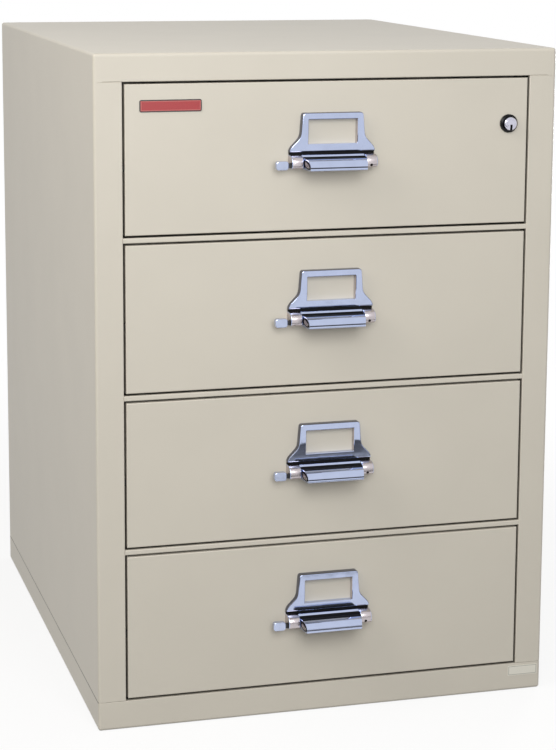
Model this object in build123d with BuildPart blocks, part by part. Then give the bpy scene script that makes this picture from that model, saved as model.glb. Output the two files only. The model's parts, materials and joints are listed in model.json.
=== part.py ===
from build123d import *
import os

# A fireproof filing cabinet with four insulated drawers.
# Millimetres. The origin is the centre of the base, on the floor.
# The front faces -Y, +X is to the right and +Z is up.

# Front layout
OPENING_W = 565.0  # drawer opening, side to side
OPENING_H = 204.0  # drawer opening, top to bottom
STILE_W = 38.0  # front upright at each side
RAIL_H = 7.0  # rail between two drawers
BASE_H = 40.0  # base band
HEADER_H = 37.0  # band above the top drawer
DRAWERS = 4

# Depth, front to back
JAMB_DEPTH = 60.0  # from the front to the shoulder that the drawer head stops at
COMPARTMENT_DEPTH = 694.0
BACK_INSULATION = 46.5

# Sheet steel
SHEET = 1.5  # outer skin, faces and rails
LINER_T = 1.0  # compartment liners
TRAY_T = 1.2
EDGE_R = 4.0  # bend radius of the outer edges
FACE_EDGE_R = 1.4  # softened front edges of the drawer faces and rails
SEAM = 0.6  # visible joint between two skins
SKIN_RETURN = 12.0  # how far a side panel wraps over the top and the back
SHOULDER_SIDE = 14.0  # step from the opening to the compartment, at each side
SHOULDER_END = 7.5  # the same, above and below

# Drawer head
FACE_GAP = 3.0  # gap round each face
PAN_FLANGE = 20.0  # depth of the face's folded edges
HEAD_CLEAR = 2.5  # head to shoulder
INSET = 0.4  # insulation inside the face's folded edges
HEAD_PLATE_T = 1.5

# Tray and slides
SIDE_SPACE = 13.5  # liner wall to tray wall, where the slide sits
TRAY_H = 140.0
TRAY_LIFT = 4.0  # tray above the liner's floor
TRAY_REAR_CLEAR = 28.0  # tray to the liner's back
HEM = 6.0  # turned-in top edge of the tray
SLIDE_H = 46.0
SLIDE_T = 1.5  # sheet of the slide members
SLIDE_START = 6.0  # shoulder to the front end of the slides
SLIDE_REAR_CLEAR = 32.0  # rear end of the slides to the liner's back
SLIDE_UP = 60.0  # slide's centre above the tray's floor
SLIDE_CLEAR = 0.5  # between two members

# Follower plate and its rail
RAIL_W = 32.0
RAIL_T = 4.0
RAIL_END = 14.0  # rail's ends to the tray's end walls
RAIL_CHAMFER = 1.0
FOLLOWER_CLEAR = 0.4
FOLLOWER_T = 1.5
FOLLOWER_SIDE = 8.0  # plate to the tray's walls
FOLLOWER_H = 112.0
FOLLOWER_R = 8.0  # corners of the plate
FOLLOWER_FOOT = 46.0  # foot that rides the rail
FOLLOWER_WING = 14.0  # foot's flange at each side of the rail
FOLLOWER_BACK = 20.0  # plate to the tray's back wall, at rest

# Pull, label frame: halves from the middle, heights above the face's centre
PULL_TOP = 58.0
PULL_TOP_HALF = 42.0
PULL_WAIST_HALF = 44.5
PULL_WAIST = 26.0
PULL_HIP_HALF = 57.0
PULL_HIP = 13.0
PULL_HALF = 59.3
PLATE_FOOT = 6.0
PLATE_EDGE = 2.5  # upright ends of the plate, above its foot
PLATE_T = 10.0
WINDOW_HALF = 34.0
WINDOW_LOW = 16.5
WINDOW_HIGH = 49.5
SPINE_T = 4.0  # web behind the crease, between the frame and the grip
CASTING_R = 1.2  # softened edges of the casting

# Pull, grip: reaches forward of the face, drops below the face's centre
SHELF_UP = 2.5  # root of the grip above the centre
SHELF_REACH = 9.0
FURROW_REACH = 15.0  # furrow between the root and the bar
FURROW_DROP = 5.0
FURROW_W = 3.0
BROW_REACH = 21.0  # top of the bar
BROW_DROP = 2.5
BROW_W = 4.0
NOSE_DROP = 11.0  # where the bar's front turns upright
NOSE_SLANT = 3.0  # slope above it, forward
NOSE_RISE = 4.5  # the same, upward
BAR_REACH = 39.0
BAR_LOW = 18.0
BAR_EDGE = 1.0  # bevel below the bar's front
GRIP_WALL = 3.0
CHEEK_W = 16.0
CHEEK_REACH = 21.0
CHEEK_SLOPE = 3.0  # slope above the cheek's flat front, forward
CHEEK_BROW = 4.0  # top of that flat front
CHEEK_LOW = 17.0

# Thumb latch
LATCH_DROP = 10.4  # tab's centre below the face's centre
TAB_W = 17.0
TAB_H = 12.0
TAB_T = 7.0
TAB_R = 3.5
TAB_FRONT = 18.0  # reach of the tab's front
LINK_W = 4.0  # link that carries the tab's push through the face
LINK_INSET = 1.0  # link behind the tab's front and rear
LATCH_ROD_H = 6.0
LATCH_ROD_T = 5.0
LATCH_BEHIND = 9.6  # rod's front behind the face
LATCH_TRAVEL = 3.5
LATCH_CLEAR = 0.5
BOLT_PROUD = 1.5  # bolt's nose past the face's edge
BOLT_LEN = 12.0
BOLT_EXTRA = 2.0  # bolt past the rod, all round
BOLT_CHAMFER = 3.0
STRIKE_CLEAR = 1.0  # strike hole past the bolt, all round

# Lock
LOCK_IN = 30.0  # lock's centre from the right edge of the opening
LOCK_UP = 37.5  # lock's centre above the face's centre
COLLAR_R = 12.5
COLLAR_T = 4.0
COLLAR_CHAMFER = 1.5
SLEEVE_WALL = 1.8
SLEEVE_LEN = 20.0
BARREL_R = 9.5
BARREL_CLEAR = 0.3
BARREL_PROUD = 11.0
BARREL_LEN = 33.0
BARREL_CHAMFER = 0.8
PLUG_R = 5.5
PLUG_CLEAR = 0.1
PLUG_LEN = 20.0
PLUG_PROUD = 0.5
KEYWAY_W = 1.6
KEYWAY_H = 7.0
KEYWAY_DEPTH = 14.0
LOCK_TRAVEL = 10.0
LOCK_POCKET = 2.0  # room round the collar, inside the head

# Lock bar and its catches
CATCH_DROP = 15.5  # catch's centre below the lock's centre
CATCH_H = 6.0
CATCH_T = 8.0
CATCH_REACH = 8.5  # catch past the jamb wall, into the head's pocket
CATCH_PLAY = 3.0  # catch to the head plate
BAR_T = 4.0
BAR_OFF = 2.0  # lock bar to the jamb wall
BAR_SEAT = 0.3  # lock bar to the insulation that guides it
BAR_ENDS = 22.0  # lock bar's ends to the base and the header
POCKET_CLEAR = 1.0
RAMP_CLEAR = 0.4
ARM_T = 4.0
ARM_W = 5.0
ARM_CLEAR = 0.5  # arm to the catch's front when the lock is pushed in

# Small plates
BADGE_W = 83.0
BADGE_H = 16.0
BADGE_T = 1.4
BADGE_R = 2.5
BADGE_CHAMFER = 0.4
BADGE_IN = 22.5  # badge's left edge from the opening's left edge
BADGE_UP = 70.5  # badge's centre above the face's centre
LABEL_W = 44.0
LABEL_H = 14.5
LABEL_R = 0.8
LABEL_T = 0.4
LABEL_IN = 5.0  # label's right edge from the cabinet's right side
LABEL_UP = 29.0  # label's centre above the floor

# Overall size and the planes that everything hangs from
WIDTH = OPENING_W + 2 * STILE_W
HEIGHT = BASE_H + DRAWERS * OPENING_H + (DRAWERS - 1) * RAIL_H + HEADER_H
DEPTH = JAMB_DEPTH + COMPARTMENT_DEPTH + BACK_INSULATION + SHEET
FRONT = -DEPTH / 2
BACK = DEPTH / 2
SIDE = WIDTH / 2
JAMB_X = OPENING_W / 2
SHOULDER_Y = FRONT + JAMB_DEPTH
LINER_BACK = SHOULDER_Y + COMPARTMENT_DEPTH
BODY_FOOT = BASE_H + SEAM / 2
OPENING_TOP = HEIGHT - HEADER_H
PITCH = OPENING_H + RAIL_H

FACE_W = OPENING_W - 2 * FACE_GAP
FACE_H = OPENING_H - 2 * FACE_GAP
FACE_X = FACE_W / 2
HEAD_REAR = SHOULDER_Y - HEAD_CLEAR
PLATE_FRONT = HEAD_REAR - HEAD_PLATE_T

LINER_W = OPENING_W - 2 * SHOULDER_SIDE
LINER_H = OPENING_H - 2 * SHOULDER_END
WALL_X = LINER_W / 2 - LINER_T  # inner face of the liner's side wall
TRAY_X = WALL_X - SIDE_SPACE
TRAY_REAR = LINER_BACK - LINER_T - TRAY_REAR_CLEAR

FACE_CENTRES = [BASE_H + OPENING_H / 2 + PITCH * i for i in reversed(range(DRAWERS))]
LOCK_X = JAMB_X - LOCK_IN
LOCK_Z = FACE_CENTRES[0] + LOCK_UP
CATCH_OFFSET = LOCK_UP - CATCH_DROP  # catch's centre above each face's centre
CATCH_REAR = PLATE_FRONT - CATCH_PLAY
CATCH_FRONT = CATCH_REAR - CATCH_T
CATCH_TIP = JAMB_X - CATCH_REACH
BAR_X = JAMB_X + SHEET + BAR_OFF

GRIP_X = PULL_HALF - CHEEK_W  # half length of the bar, between the cheeks
TAB_GAP = LATCH_TRAVEL + LATCH_CLEAR
TAB_X = -PULL_HALF - TAB_GAP  # right edge of the tab
TAB_REAR = FRONT - TAB_FRONT + TAB_T
LINK_X0 = -PULL_HALF + GRIP_WALL
LINK_X1 = LINK_X0 + LINK_W
ROD_FRONT = FRONT + LATCH_BEHIND
ROD_REAR = ROD_FRONT + LATCH_ROD_T
BOLT_HALF = LATCH_ROD_H / 2 + BOLT_EXTRA
BOLT_X = -FACE_X - BOLT_PROUD  # bolt's nose

print(f"cabinet {WIDTH} x {DEPTH} x {HEIGHT} mm")
os.makedirs("parts", exist_ok=True)


def block(x0, x1, y0, y1, z0, z1, mode=Mode.ADD):
    """A box between two corners, added to the part being built."""
    with Locations(((x0 + x1) / 2, (y0 + y1) / 2, (z0 + z1) / 2)):
        Box(x1 - x0, y1 - y0, z1 - z0, mode=mode)


# Outer skin: a hollow box with bent edges, which each panel takes its own region of
with BuildPart() as skin:
    block(-SIDE, SIDE, FRONT, BACK, 0, HEIGHT)
    fillet(skin.edges(), radius=EDGE_R)
with BuildPart() as hollow:
    block(-SIDE + SHEET, SIDE - SHEET, FRONT + SHEET, BACK - SHEET, SHEET, HEIGHT - SHEET)
    fillet(hollow.edges(), radius=EDGE_R - SHEET)
with BuildPart() as shell:
    add(skin.part)
    add(hollow.part, mode=Mode.SUBTRACT)

# Left side panel: side, stile, jamb wall, and short returns over the top and the back
with BuildPart() as left_side_panel:
    add(shell.part)
    block(-SIDE, -JAMB_X, FRONT, BACK, BODY_FOOT, HEIGHT, mode=Mode.INTERSECT)
    block(-SIDE + SKIN_RETURN, -JAMB_X, FRONT, BACK, OPENING_TOP - SEAM, HEIGHT, mode=Mode.SUBTRACT)
    block(-SIDE + SKIN_RETURN, -JAMB_X, BACK - EDGE_R, BACK, BODY_FOOT, HEIGHT, mode=Mode.SUBTRACT)
    # the relief slot goes on across the return, to the bend
    block(-SIDE + EDGE_R, -JAMB_X, FRONT, FRONT + SHEET,
          OPENING_TOP - SEAM, OPENING_TOP, mode=Mode.SUBTRACT)
    block(-JAMB_X - SHEET, -JAMB_X, FRONT, SHOULDER_Y, BODY_FOOT, OPENING_TOP - SEAM)
    fillet(
        left_side_panel.edges().filter_by(Axis.Z).group_by(Axis.X)[-1].group_by(Axis.Y)[0],
        radius=FACE_EDGE_R,
    )
    # strike holes for the bolts of the thumb latches
    strike = BOLT_EXTRA + STRIKE_CLEAR
    for centre in FACE_CENTRES:
        bolt_z = centre - LATCH_DROP
        block(-JAMB_X - SHEET, -JAMB_X, ROD_FRONT - strike, ROD_REAR + strike,
              bolt_z - LATCH_ROD_H / 2 - strike, bolt_z + LATCH_ROD_H / 2 + strike,
              mode=Mode.SUBTRACT)
left_side_panel.part.label = "left_side_panel"
export_step(left_side_panel.part, "parts/left_side_panel.step")

# Right side panel: the same, with slots in the jamb wall for the catches of the lock bar
with BuildPart() as right_side_panel:
    add(shell.part)
    block(JAMB_X, SIDE, FRONT, BACK, BODY_FOOT, HEIGHT, mode=Mode.INTERSECT)
    block(JAMB_X, SIDE - SKIN_RETURN, FRONT, BACK, OPENING_TOP - SEAM, HEIGHT, mode=Mode.SUBTRACT)
    block(JAMB_X, SIDE - SKIN_RETURN, BACK - EDGE_R, BACK, BODY_FOOT, HEIGHT, mode=Mode.SUBTRACT)
    block(JAMB_X, SIDE - EDGE_R, FRONT, FRONT + SHEET,
          OPENING_TOP - SEAM, OPENING_TOP, mode=Mode.SUBTRACT)
    block(JAMB_X, JAMB_X + SHEET, FRONT, SHOULDER_Y, BODY_FOOT, OPENING_TOP - SEAM)
    fillet(
        right_side_panel.edges().filter_by(Axis.Z).group_by(Axis.X)[0].group_by(Axis.Y)[0],
        radius=FACE_EDGE_R,
    )
    for centre in FACE_CENTRES:
        catch_z = centre + CATCH_OFFSET
        block(JAMB_X, JAMB_X + SHEET, CATCH_FRONT - POCKET_CLEAR, CATCH_REAR + POCKET_CLEAR,
              catch_z - CATCH_H / 2 - POCKET_CLEAR,
              catch_z + CATCH_H / 2 + LOCK_TRAVEL + POCKET_CLEAR, mode=Mode.SUBTRACT)
right_side_panel.part.label = "right_side_panel"
export_step(right_side_panel.part, "parts/right_side_panel.step")

# Top panel: top sheet, front band with its return above the opening, and a lip at the back
with BuildPart() as top_panel:
    add(shell.part)
    block(-SIDE + SKIN_RETURN, SIDE - SKIN_RETURN, FRONT, BACK, OPENING_TOP, HEIGHT,
          mode=Mode.INTERSECT)
    block(-SIDE, SIDE, BACK - EDGE_R, BACK, 0, HEIGHT - SKIN_RETURN, mode=Mode.SUBTRACT)
    block(-JAMB_X, JAMB_X, FRONT, SHOULDER_Y, OPENING_TOP, OPENING_TOP + SHEET)
    fillet(
        top_panel.edges().filter_by(Axis.X).group_by(Axis.Z)[0].group_by(Axis.Y)[0]
        .sort_by(SortBy.LENGTH)[-1],
        radius=FACE_EDGE_R,
    )
top_panel.part.label = "top_panel"
export_step(top_panel.part, "parts/top_panel.step")

# Back panel, let in between the returns of the side panels and the top panel's lip
with BuildPart() as back_panel:
    add(shell.part)
    block(-SIDE + SKIN_RETURN + SEAM, SIDE - SKIN_RETURN - SEAM, BACK - SHEET, BACK,
          BODY_FOOT, HEIGHT - SKIN_RETURN - SEAM, mode=Mode.INTERSECT)
back_panel.part.label = "back_panel"
export_step(back_panel.part, "parts/back_panel.step")

# Base pan: closed floor and skirt, with a return below the bottom drawer
BASE_TOP = BASE_H - SEAM / 2
with BuildPart() as base_pan:
    add(shell.part)
    block(-SIDE, SIDE, FRONT, BACK, 0, BASE_TOP, mode=Mode.INTERSECT)
    block(-JAMB_X, JAMB_X, FRONT, SHOULDER_Y, BASE_TOP - SHEET, BASE_TOP)
    fillet(
        base_pan.edges().filter_by(Axis.X).group_by(Axis.Z)[-1].group_by(Axis.Y)[0],
        radius=FACE_EDGE_R / 2,
    )
base_pan.part.label = "base_pan"
export_step(base_pan.part, "parts/base_pan.step")

# Rails between the drawers: channels, open to the back
with BuildPart() as frame_rails:
    with BuildSketch(Plane.YZ.offset(-JAMB_X)) as rail_profile:
        for centre in FACE_CENTRES[1:]:
            rail_z = centre + OPENING_H / 2 + RAIL_H / 2
            with Locations((FRONT + JAMB_DEPTH / 2, rail_z)):
                Rectangle(JAMB_DEPTH, RAIL_H)
            with Locations((FRONT + (JAMB_DEPTH + SHEET) / 2, rail_z)):
                Rectangle(JAMB_DEPTH - SHEET, RAIL_H - 2 * SHEET, mode=Mode.SUBTRACT)
        # a sketch's own X runs along the cabinet's Y
        fillet(rail_profile.vertices().group_by(Axis.X)[0], radius=FACE_EDGE_R)
    extrude(amount=OPENING_W)
frame_rails.part.label = "frame_rails"
export_step(frame_rails.part, "parts/frame_rails.step")

# Gypsum insulation: blocks at the sides and the back, slabs at the top, bottom and between
INSULATION_FRONT = SHOULDER_Y + LINER_T
SKIN_INNER_X = SIDE - SHEET
BLOCK_H = HEIGHT - 2 * SHEET
with BuildPart() as side_insulation:
    with BuildSketch(Plane.XY.offset(SHEET)):
        for side in (-1, 1):
            with Locations((side * (LINER_W / 2 + SKIN_INNER_X) / 2, (INSULATION_FRONT + LINER_BACK) / 2)):
                Rectangle(SKIN_INNER_X - LINER_W / 2, LINER_BACK - INSULATION_FRONT)
    extrude(amount=BLOCK_H)
    # room for the bends of the skin
    for side in (-1, 1):
        for z in (SHEET, HEIGHT - SHEET):
            with BuildSketch(Plane.XZ.offset(-INSULATION_FRONT)):
                with Locations((side * SKIN_INNER_X, z)):
                    Rectangle(EDGE_R, EDGE_R, rotation=45)
            extrude(amount=INSULATION_FRONT - LINER_BACK, mode=Mode.SUBTRACT)
side_insulation.part.label = "side_insulation"
export_step(side_insulation.part, "parts/side_insulation.step")

with BuildPart() as back_insulation:
    block(-SIDE + SHEET, SIDE - SHEET, LINER_BACK, BACK - SHEET, SHEET, HEIGHT - SHEET)
    fillet(
        back_insulation.edges().filter_by(Axis.Z).group_by(Axis.Y)[-1]
        + back_insulation.edges().filter_by(Axis.X).group_by(Axis.Y)[-1]
        + back_insulation.edges().filter_by(Axis.Y),
        radius=EDGE_R,
    )
back_insulation.part.label = "back_insulation"
export_step(back_insulation.part, "parts/back_insulation.step")

with BuildPart() as shelf_insulation:
    levels = [(SHEET, BASE_H + SHOULDER_END)]
    for centre in FACE_CENTRES[1:]:
        rail_foot = centre + OPENING_H / 2
        levels.append((rail_foot - SHOULDER_END, rail_foot + RAIL_H + SHOULDER_END))
    levels.append((OPENING_TOP - SHOULDER_END, HEIGHT - SHEET))
    for z0, z1 in levels:
        block(-LINER_W / 2, LINER_W / 2, INSULATION_FRONT, LINER_BACK, z0, z1)
shelf_insulation.part.label = "shelf_insulation"
export_step(shelf_insulation.part, "parts/shelf_insulation.step")

# Compartment liners: open in front, with a flange that covers the shoulder
for number, centre in enumerate(FACE_CENTRES, start=1):
    with BuildPart() as liner:
        block(-LINER_W / 2, LINER_W / 2, SHOULDER_Y, LINER_BACK,
              centre - LINER_H / 2, centre + LINER_H / 2)
        block(-JAMB_X, JAMB_X, SHOULDER_Y, INSULATION_FRONT,
              centre - OPENING_H / 2, centre + OPENING_H / 2)
        block(-WALL_X, WALL_X, SHOULDER_Y, LINER_BACK - LINER_T,
              centre - LINER_H / 2 + LINER_T, centre + LINER_H / 2 - LINER_T, mode=Mode.SUBTRACT)
    liner.part.label = f"compartment_liner_{number}"
    export_step(liner.part, f"parts/compartment_liner_{number}.step")

# Slides: three nested channels at each side of each tray
SLIDE_Y0 = SHOULDER_Y + SLIDE_START
SLIDE_Y1 = LINER_BACK - LINER_T - SLIDE_REAR_CLEAR
MIDDLE_H = SLIDE_H - 2 * SLIDE_T - 2 * SLIDE_CLEAR
DRAWER_MEMBER_H = MIDDLE_H - 2 * SLIDE_T - 2 * SLIDE_CLEAR
SLIDE_TOTAL = SIDE_SPACE - SLIDE_CLEAR  # depth of the fixed channel, clear of the tray


def slide_centre(centre):
    """Height of a drawer's slides."""
    return centre - LINER_H / 2 + LINER_T + TRAY_LIFT + SLIDE_UP


def channel(x_web, x_lips, height, z):
    """A channel along Y: web at x_web, lips out to x_lips."""
    x0, x1 = min(x_web, x_lips), max(x_web, x_lips)
    block(x0, x1, SLIDE_Y0, SLIDE_Y1, z - height / 2, z + height / 2)
    inner_x0 = x0 + SLIDE_T if x_web < x_lips else x0
    inner_x1 = x1 if x_web < x_lips else x1 - SLIDE_T
    block(inner_x0, inner_x1, SLIDE_Y0, SLIDE_Y1,
          z - height / 2 + SLIDE_T, z + height / 2 - SLIDE_T, mode=Mode.SUBTRACT)


with BuildPart() as cabinet_slides:
    for centre in FACE_CENTRES:
        for side in (-1, 1):
            channel(side * WALL_X, side * (WALL_X - SLIDE_TOTAL), SLIDE_H, slide_centre(centre))
cabinet_slides.part.label = "cabinet_slides"
export_step(cabinet_slides.part, "parts/cabinet_slides.step")

for number, centre in enumerate(FACE_CENTRES, start=1):
    with BuildPart() as middle_slides:
        for side in (-1, 1):
            x_web = side * (WALL_X - SLIDE_T - SLIDE_CLEAR)
            channel(x_web, side * (WALL_X - SLIDE_TOTAL), MIDDLE_H, slide_centre(centre))
    middle_slides.part.label = f"middle_slides_{number}"
    export_step(middle_slides.part, f"parts/middle_slides_{number}.step")

    with BuildPart() as drawer_slides:
        for side in (-1, 1):
            x_lips = side * (WALL_X - 2 * SLIDE_T - 2 * SLIDE_CLEAR)
            channel(side * TRAY_X, x_lips, DRAWER_MEMBER_H, slide_centre(centre))
    drawer_slides.part.label = f"drawer_{number}_slides"
    export_step(drawer_slides.part, f"parts/drawer_{number}_slides.step")

# Drawers, numbered from the top
for number, centre in enumerate(FACE_CENTRES, start=1):
    latch_z = centre - LATCH_DROP
    rod_foot = latch_z - LATCH_ROD_H / 2
    rod_top = latch_z + LATCH_ROD_H / 2
    catch_z = centre + CATCH_OFFSET

    # Face: a folded pan
    with BuildPart() as face:
        block(-FACE_X, FACE_X, FRONT, FRONT + PAN_FLANGE, centre - FACE_H / 2, centre + FACE_H / 2)
        fillet(face.faces().sort_by(Axis.Y)[0].edges(), radius=FACE_EDGE_R)
        block(-FACE_X + SHEET, FACE_X - SHEET, FRONT + SHEET, FRONT + PAN_FLANGE,
              centre - FACE_H / 2 + SHEET, centre + FACE_H / 2 - SHEET, mode=Mode.SUBTRACT)
        # slot behind the pull for the latch's link, and hole in the edge for its bolt
        block(LINK_X0 - LATCH_CLEAR, LINK_X1 + LATCH_TRAVEL + LATCH_CLEAR, FRONT, FRONT + SHEET,
              rod_foot - LATCH_CLEAR, rod_top + LATCH_CLEAR, mode=Mode.SUBTRACT)
        block(-FACE_X, -FACE_X + SHEET,
              ROD_FRONT - BOLT_EXTRA - LATCH_CLEAR, ROD_REAR + BOLT_EXTRA + LATCH_CLEAR,
              latch_z - BOLT_HALF - LATCH_CLEAR, latch_z + BOLT_HALF + LATCH_CLEAR,
              mode=Mode.SUBTRACT)
        if number == 1:
            with BuildSketch(Plane.XZ.offset(-FRONT)):
                with Locations((LOCK_X, LOCK_Z)):
                    Circle(BARREL_R + BARREL_CLEAR + SLEEVE_WALL)
            extrude(amount=-SHEET, mode=Mode.SUBTRACT)
    face.part.label = f"drawer_{number}_face"
    export_step(face.part, f"parts/drawer_{number}_face.step")

    # Insulation of the head, with the channels of the latch and the lock
    edge = SHEET + INSET
    with BuildPart() as head_insulation:
        block(-FACE_X + edge, FACE_X - edge, FRONT + SHEET, PLATE_FRONT,
              centre - FACE_H / 2 + edge, centre + FACE_H / 2 - edge)
        block(-FACE_X, LINK_X1 + LATCH_TRAVEL + LATCH_CLEAR, FRONT, ROD_REAR + LATCH_CLEAR,
              rod_foot - LATCH_CLEAR, rod_top + LATCH_CLEAR, mode=Mode.SUBTRACT)
        block(-FACE_X, BOLT_X + BOLT_LEN + LATCH_TRAVEL + LATCH_CLEAR,
              FRONT, ROD_REAR + BOLT_EXTRA + LATCH_CLEAR,
              latch_z - BOLT_HALF - LATCH_CLEAR, latch_z + BOLT_HALF + LATCH_CLEAR,
              mode=Mode.SUBTRACT)
        block(CATCH_TIP - POCKET_CLEAR, FACE_X, CATCH_FRONT - POCKET_CLEAR, PLATE_FRONT,
              catch_z - CATCH_H / 2 - POCKET_CLEAR,
              catch_z + CATCH_H / 2 + LOCK_TRAVEL + POCKET_CLEAR, mode=Mode.SUBTRACT)
        if number == 1:
            # lock pocket, open to the face and to the right edge
            pocket_foot = catch_z - CATCH_H / 2 - RAMP_CLEAR - LOCK_TRAVEL - LOCK_POCKET
            block(LOCK_X - COLLAR_R - LOCK_POCKET, FACE_X, FRONT, PLATE_FRONT,
                  pocket_foot, LOCK_Z + COLLAR_R + LOCK_POCKET, mode=Mode.SUBTRACT)
    head_insulation.part.label = f"drawer_{number}_insulation"
    export_step(head_insulation.part, f"parts/drawer_{number}_insulation.step")

    # Plate behind the insulation, slotted where the catch passes when the lock is open
    with BuildPart() as head_plate:
        block(-FACE_X + edge, FACE_X - edge, PLATE_FRONT, HEAD_REAR,
              centre - FACE_H / 2 + edge, centre + FACE_H / 2 - edge)
        block(CATCH_TIP - POCKET_CLEAR, FACE_X, PLATE_FRONT, HEAD_REAR,
              catch_z - CATCH_H / 2 - POCKET_CLEAR, catch_z + CATCH_H / 2 + POCKET_CLEAR,
              mode=Mode.SUBTRACT)
    head_plate.part.label = f"drawer_{number}_head_plate"
    export_step(head_plate.part, f"parts/drawer_{number}_head_plate.step")

    # Tray with turned-in top edges
    tray_foot = centre - LINER_H / 2 + LINER_T + TRAY_LIFT
    tray_top = tray_foot + TRAY_H
    with BuildPart() as tray:
        block(-TRAY_X, TRAY_X, HEAD_REAR, TRAY_REAR, tray_foot, tray_top)
        block(-TRAY_X + TRAY_T, TRAY_X - TRAY_T, HEAD_REAR + TRAY_T, TRAY_REAR - TRAY_T,
              tray_foot + TRAY_T, tray_top - TRAY_T, mode=Mode.SUBTRACT)
        block(-TRAY_X + HEM, TRAY_X - HEM, HEAD_REAR + HEM, TRAY_REAR - HEM,
              tray_top - TRAY_T, tray_top, mode=Mode.SUBTRACT)
    tray.part.label = f"drawer_{number}_tray"
    export_step(tray.part, f"parts/drawer_{number}_tray.step")

    # Rail along the tray's floor, and the follower plate that rides it
    floor_z = tray_foot + TRAY_T
    with BuildPart() as follower_rail:
        block(-RAIL_W / 2, RAIL_W / 2, HEAD_REAR + TRAY_T + RAIL_END, TRAY_REAR - TRAY_T - RAIL_END,
              floor_z, floor_z + RAIL_T)
        chamfer(follower_rail.faces().sort_by(Axis.Z)[-1].edges().filter_by(Axis.Y),
                length=RAIL_CHAMFER)
    follower_rail.part.label = f"drawer_{number}_follower_rail"
    export_step(follower_rail.part, f"parts/drawer_{number}_follower_rail.step")

    plate_rear = TRAY_REAR - TRAY_T - FOLLOWER_BACK
    half_plate = TRAY_X - TRAY_T - FOLLOWER_SIDE
    foot_top = floor_z + RAIL_T + FOLLOWER_CLEAR + FOLLOWER_T
    arch = RAIL_W / 2 + FOLLOWER_CLEAR
    hat = arch + FOLLOWER_T
    with BuildPart() as follower:
        with BuildSketch(Plane.XZ.offset(-plate_rear + FOLLOWER_T)):
            with Locations((0, floor_z + FOLLOWER_CLEAR + FOLLOWER_H / 2)):
                RectangleRounded(2 * half_plate, FOLLOWER_H, FOLLOWER_R)
        extrude(amount=-FOLLOWER_T)
        # foot: a hat section over the rail
        block(-hat - FOLLOWER_WING, hat + FOLLOWER_WING, plate_rear - FOLLOWER_FOOT, plate_rear,
              floor_z + FOLLOWER_CLEAR, foot_top)
        for x0, x1 in ((-hat - FOLLOWER_WING, -hat), (hat, hat + FOLLOWER_WING)):
            block(x0, x1, plate_rear - FOLLOWER_FOOT, plate_rear - FOLLOWER_T,
                  floor_z + FOLLOWER_CLEAR + FOLLOWER_T, foot_top, mode=Mode.SUBTRACT)
        block(-arch, arch, plate_rear - FOLLOWER_FOOT, plate_rear,
              floor_z, floor_z + RAIL_T + FOLLOWER_CLEAR, mode=Mode.SUBTRACT)
    follower.part.label = f"drawer_{number}_follower"
    export_step(follower.part, f"parts/drawer_{number}_follower.step")

    # Pull: label frame above, hollow grip below, one casting
    with BuildPart() as pull:
        with BuildSketch(Plane.XZ.offset(-FRONT)):
            with BuildLine():
                Polyline(
                    (-PULL_HALF, centre + PLATE_FOOT),
                    (-PULL_HALF, centre + PLATE_FOOT + PLATE_EDGE),
                    (-PULL_HIP_HALF, centre + PULL_HIP),
                    (-PULL_WAIST_HALF, centre + PULL_WAIST),
                    (-PULL_TOP_HALF, centre + PULL_TOP),
                    (PULL_TOP_HALF, centre + PULL_TOP),
                    (PULL_WAIST_HALF, centre + PULL_WAIST),
                    (PULL_HIP_HALF, centre + PULL_HIP),
                    (PULL_HALF, centre + PLATE_FOOT + PLATE_EDGE),
                    (PULL_HALF, centre + PLATE_FOOT),
                    close=True,
                )
            make_face()
        extrude(amount=PLATE_T)
        fillet(pull.faces().sort_by(Axis.Y)[0].edges(), radius=CASTING_R)
        block(-WINDOW_HALF, WINDOW_HALF, FRONT - PLATE_T, FRONT,
              centre + WINDOW_LOW, centre + WINDOW_HIGH, mode=Mode.SUBTRACT)
        # spine that joins the plate to the grip, behind the crease
        block(-PULL_HALF, PULL_HALF, FRONT - SPINE_T, FRONT, centre, centre + PLATE_FOOT)
        # grip, seen from the side: root, furrow and bar
        with BuildSketch(Plane.YZ.offset(-GRIP_X)) as grip:
            with BuildLine():
                Polyline(
                    (FRONT, centre + SHELF_UP),
                    (FRONT - SHELF_REACH, centre + SHELF_UP),
                    (FRONT - FURROW_REACH, centre - FURROW_DROP),
                    (FRONT - FURROW_REACH - FURROW_W, centre - FURROW_DROP),
                    (FRONT - BROW_REACH, centre - BROW_DROP),
                    (FRONT - BROW_REACH - BROW_W, centre - BROW_DROP),
                    (FRONT - BAR_REACH + NOSE_SLANT, centre - NOSE_DROP + NOSE_RISE),
                    (FRONT - BAR_REACH, centre - NOSE_DROP),
                    (FRONT - BAR_REACH, centre - BAR_LOW + BAR_EDGE),
                    (FRONT - BAR_REACH + BAR_EDGE, centre - BAR_LOW),
                    (FRONT, centre - BAR_LOW),
                    close=True,
                )
            make_face()
        extrude(amount=2 * GRIP_X)
        # hollow behind the bar for the fingertips, open downwards
        with BuildSketch(Plane.YZ.offset(-GRIP_X + GRIP_WALL)):
            offset(grip.sketch_local.faces(), amount=-GRIP_WALL, kind=Kind.INTERSECTION)
            with Locations((FRONT - BAR_REACH / 2, centre - BAR_LOW + GRIP_WALL / 2)):
                Rectangle(BAR_REACH - 2 * GRIP_WALL, GRIP_WALL)
        extrude(amount=2 * (GRIP_X - GRIP_WALL), mode=Mode.SUBTRACT)
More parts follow.
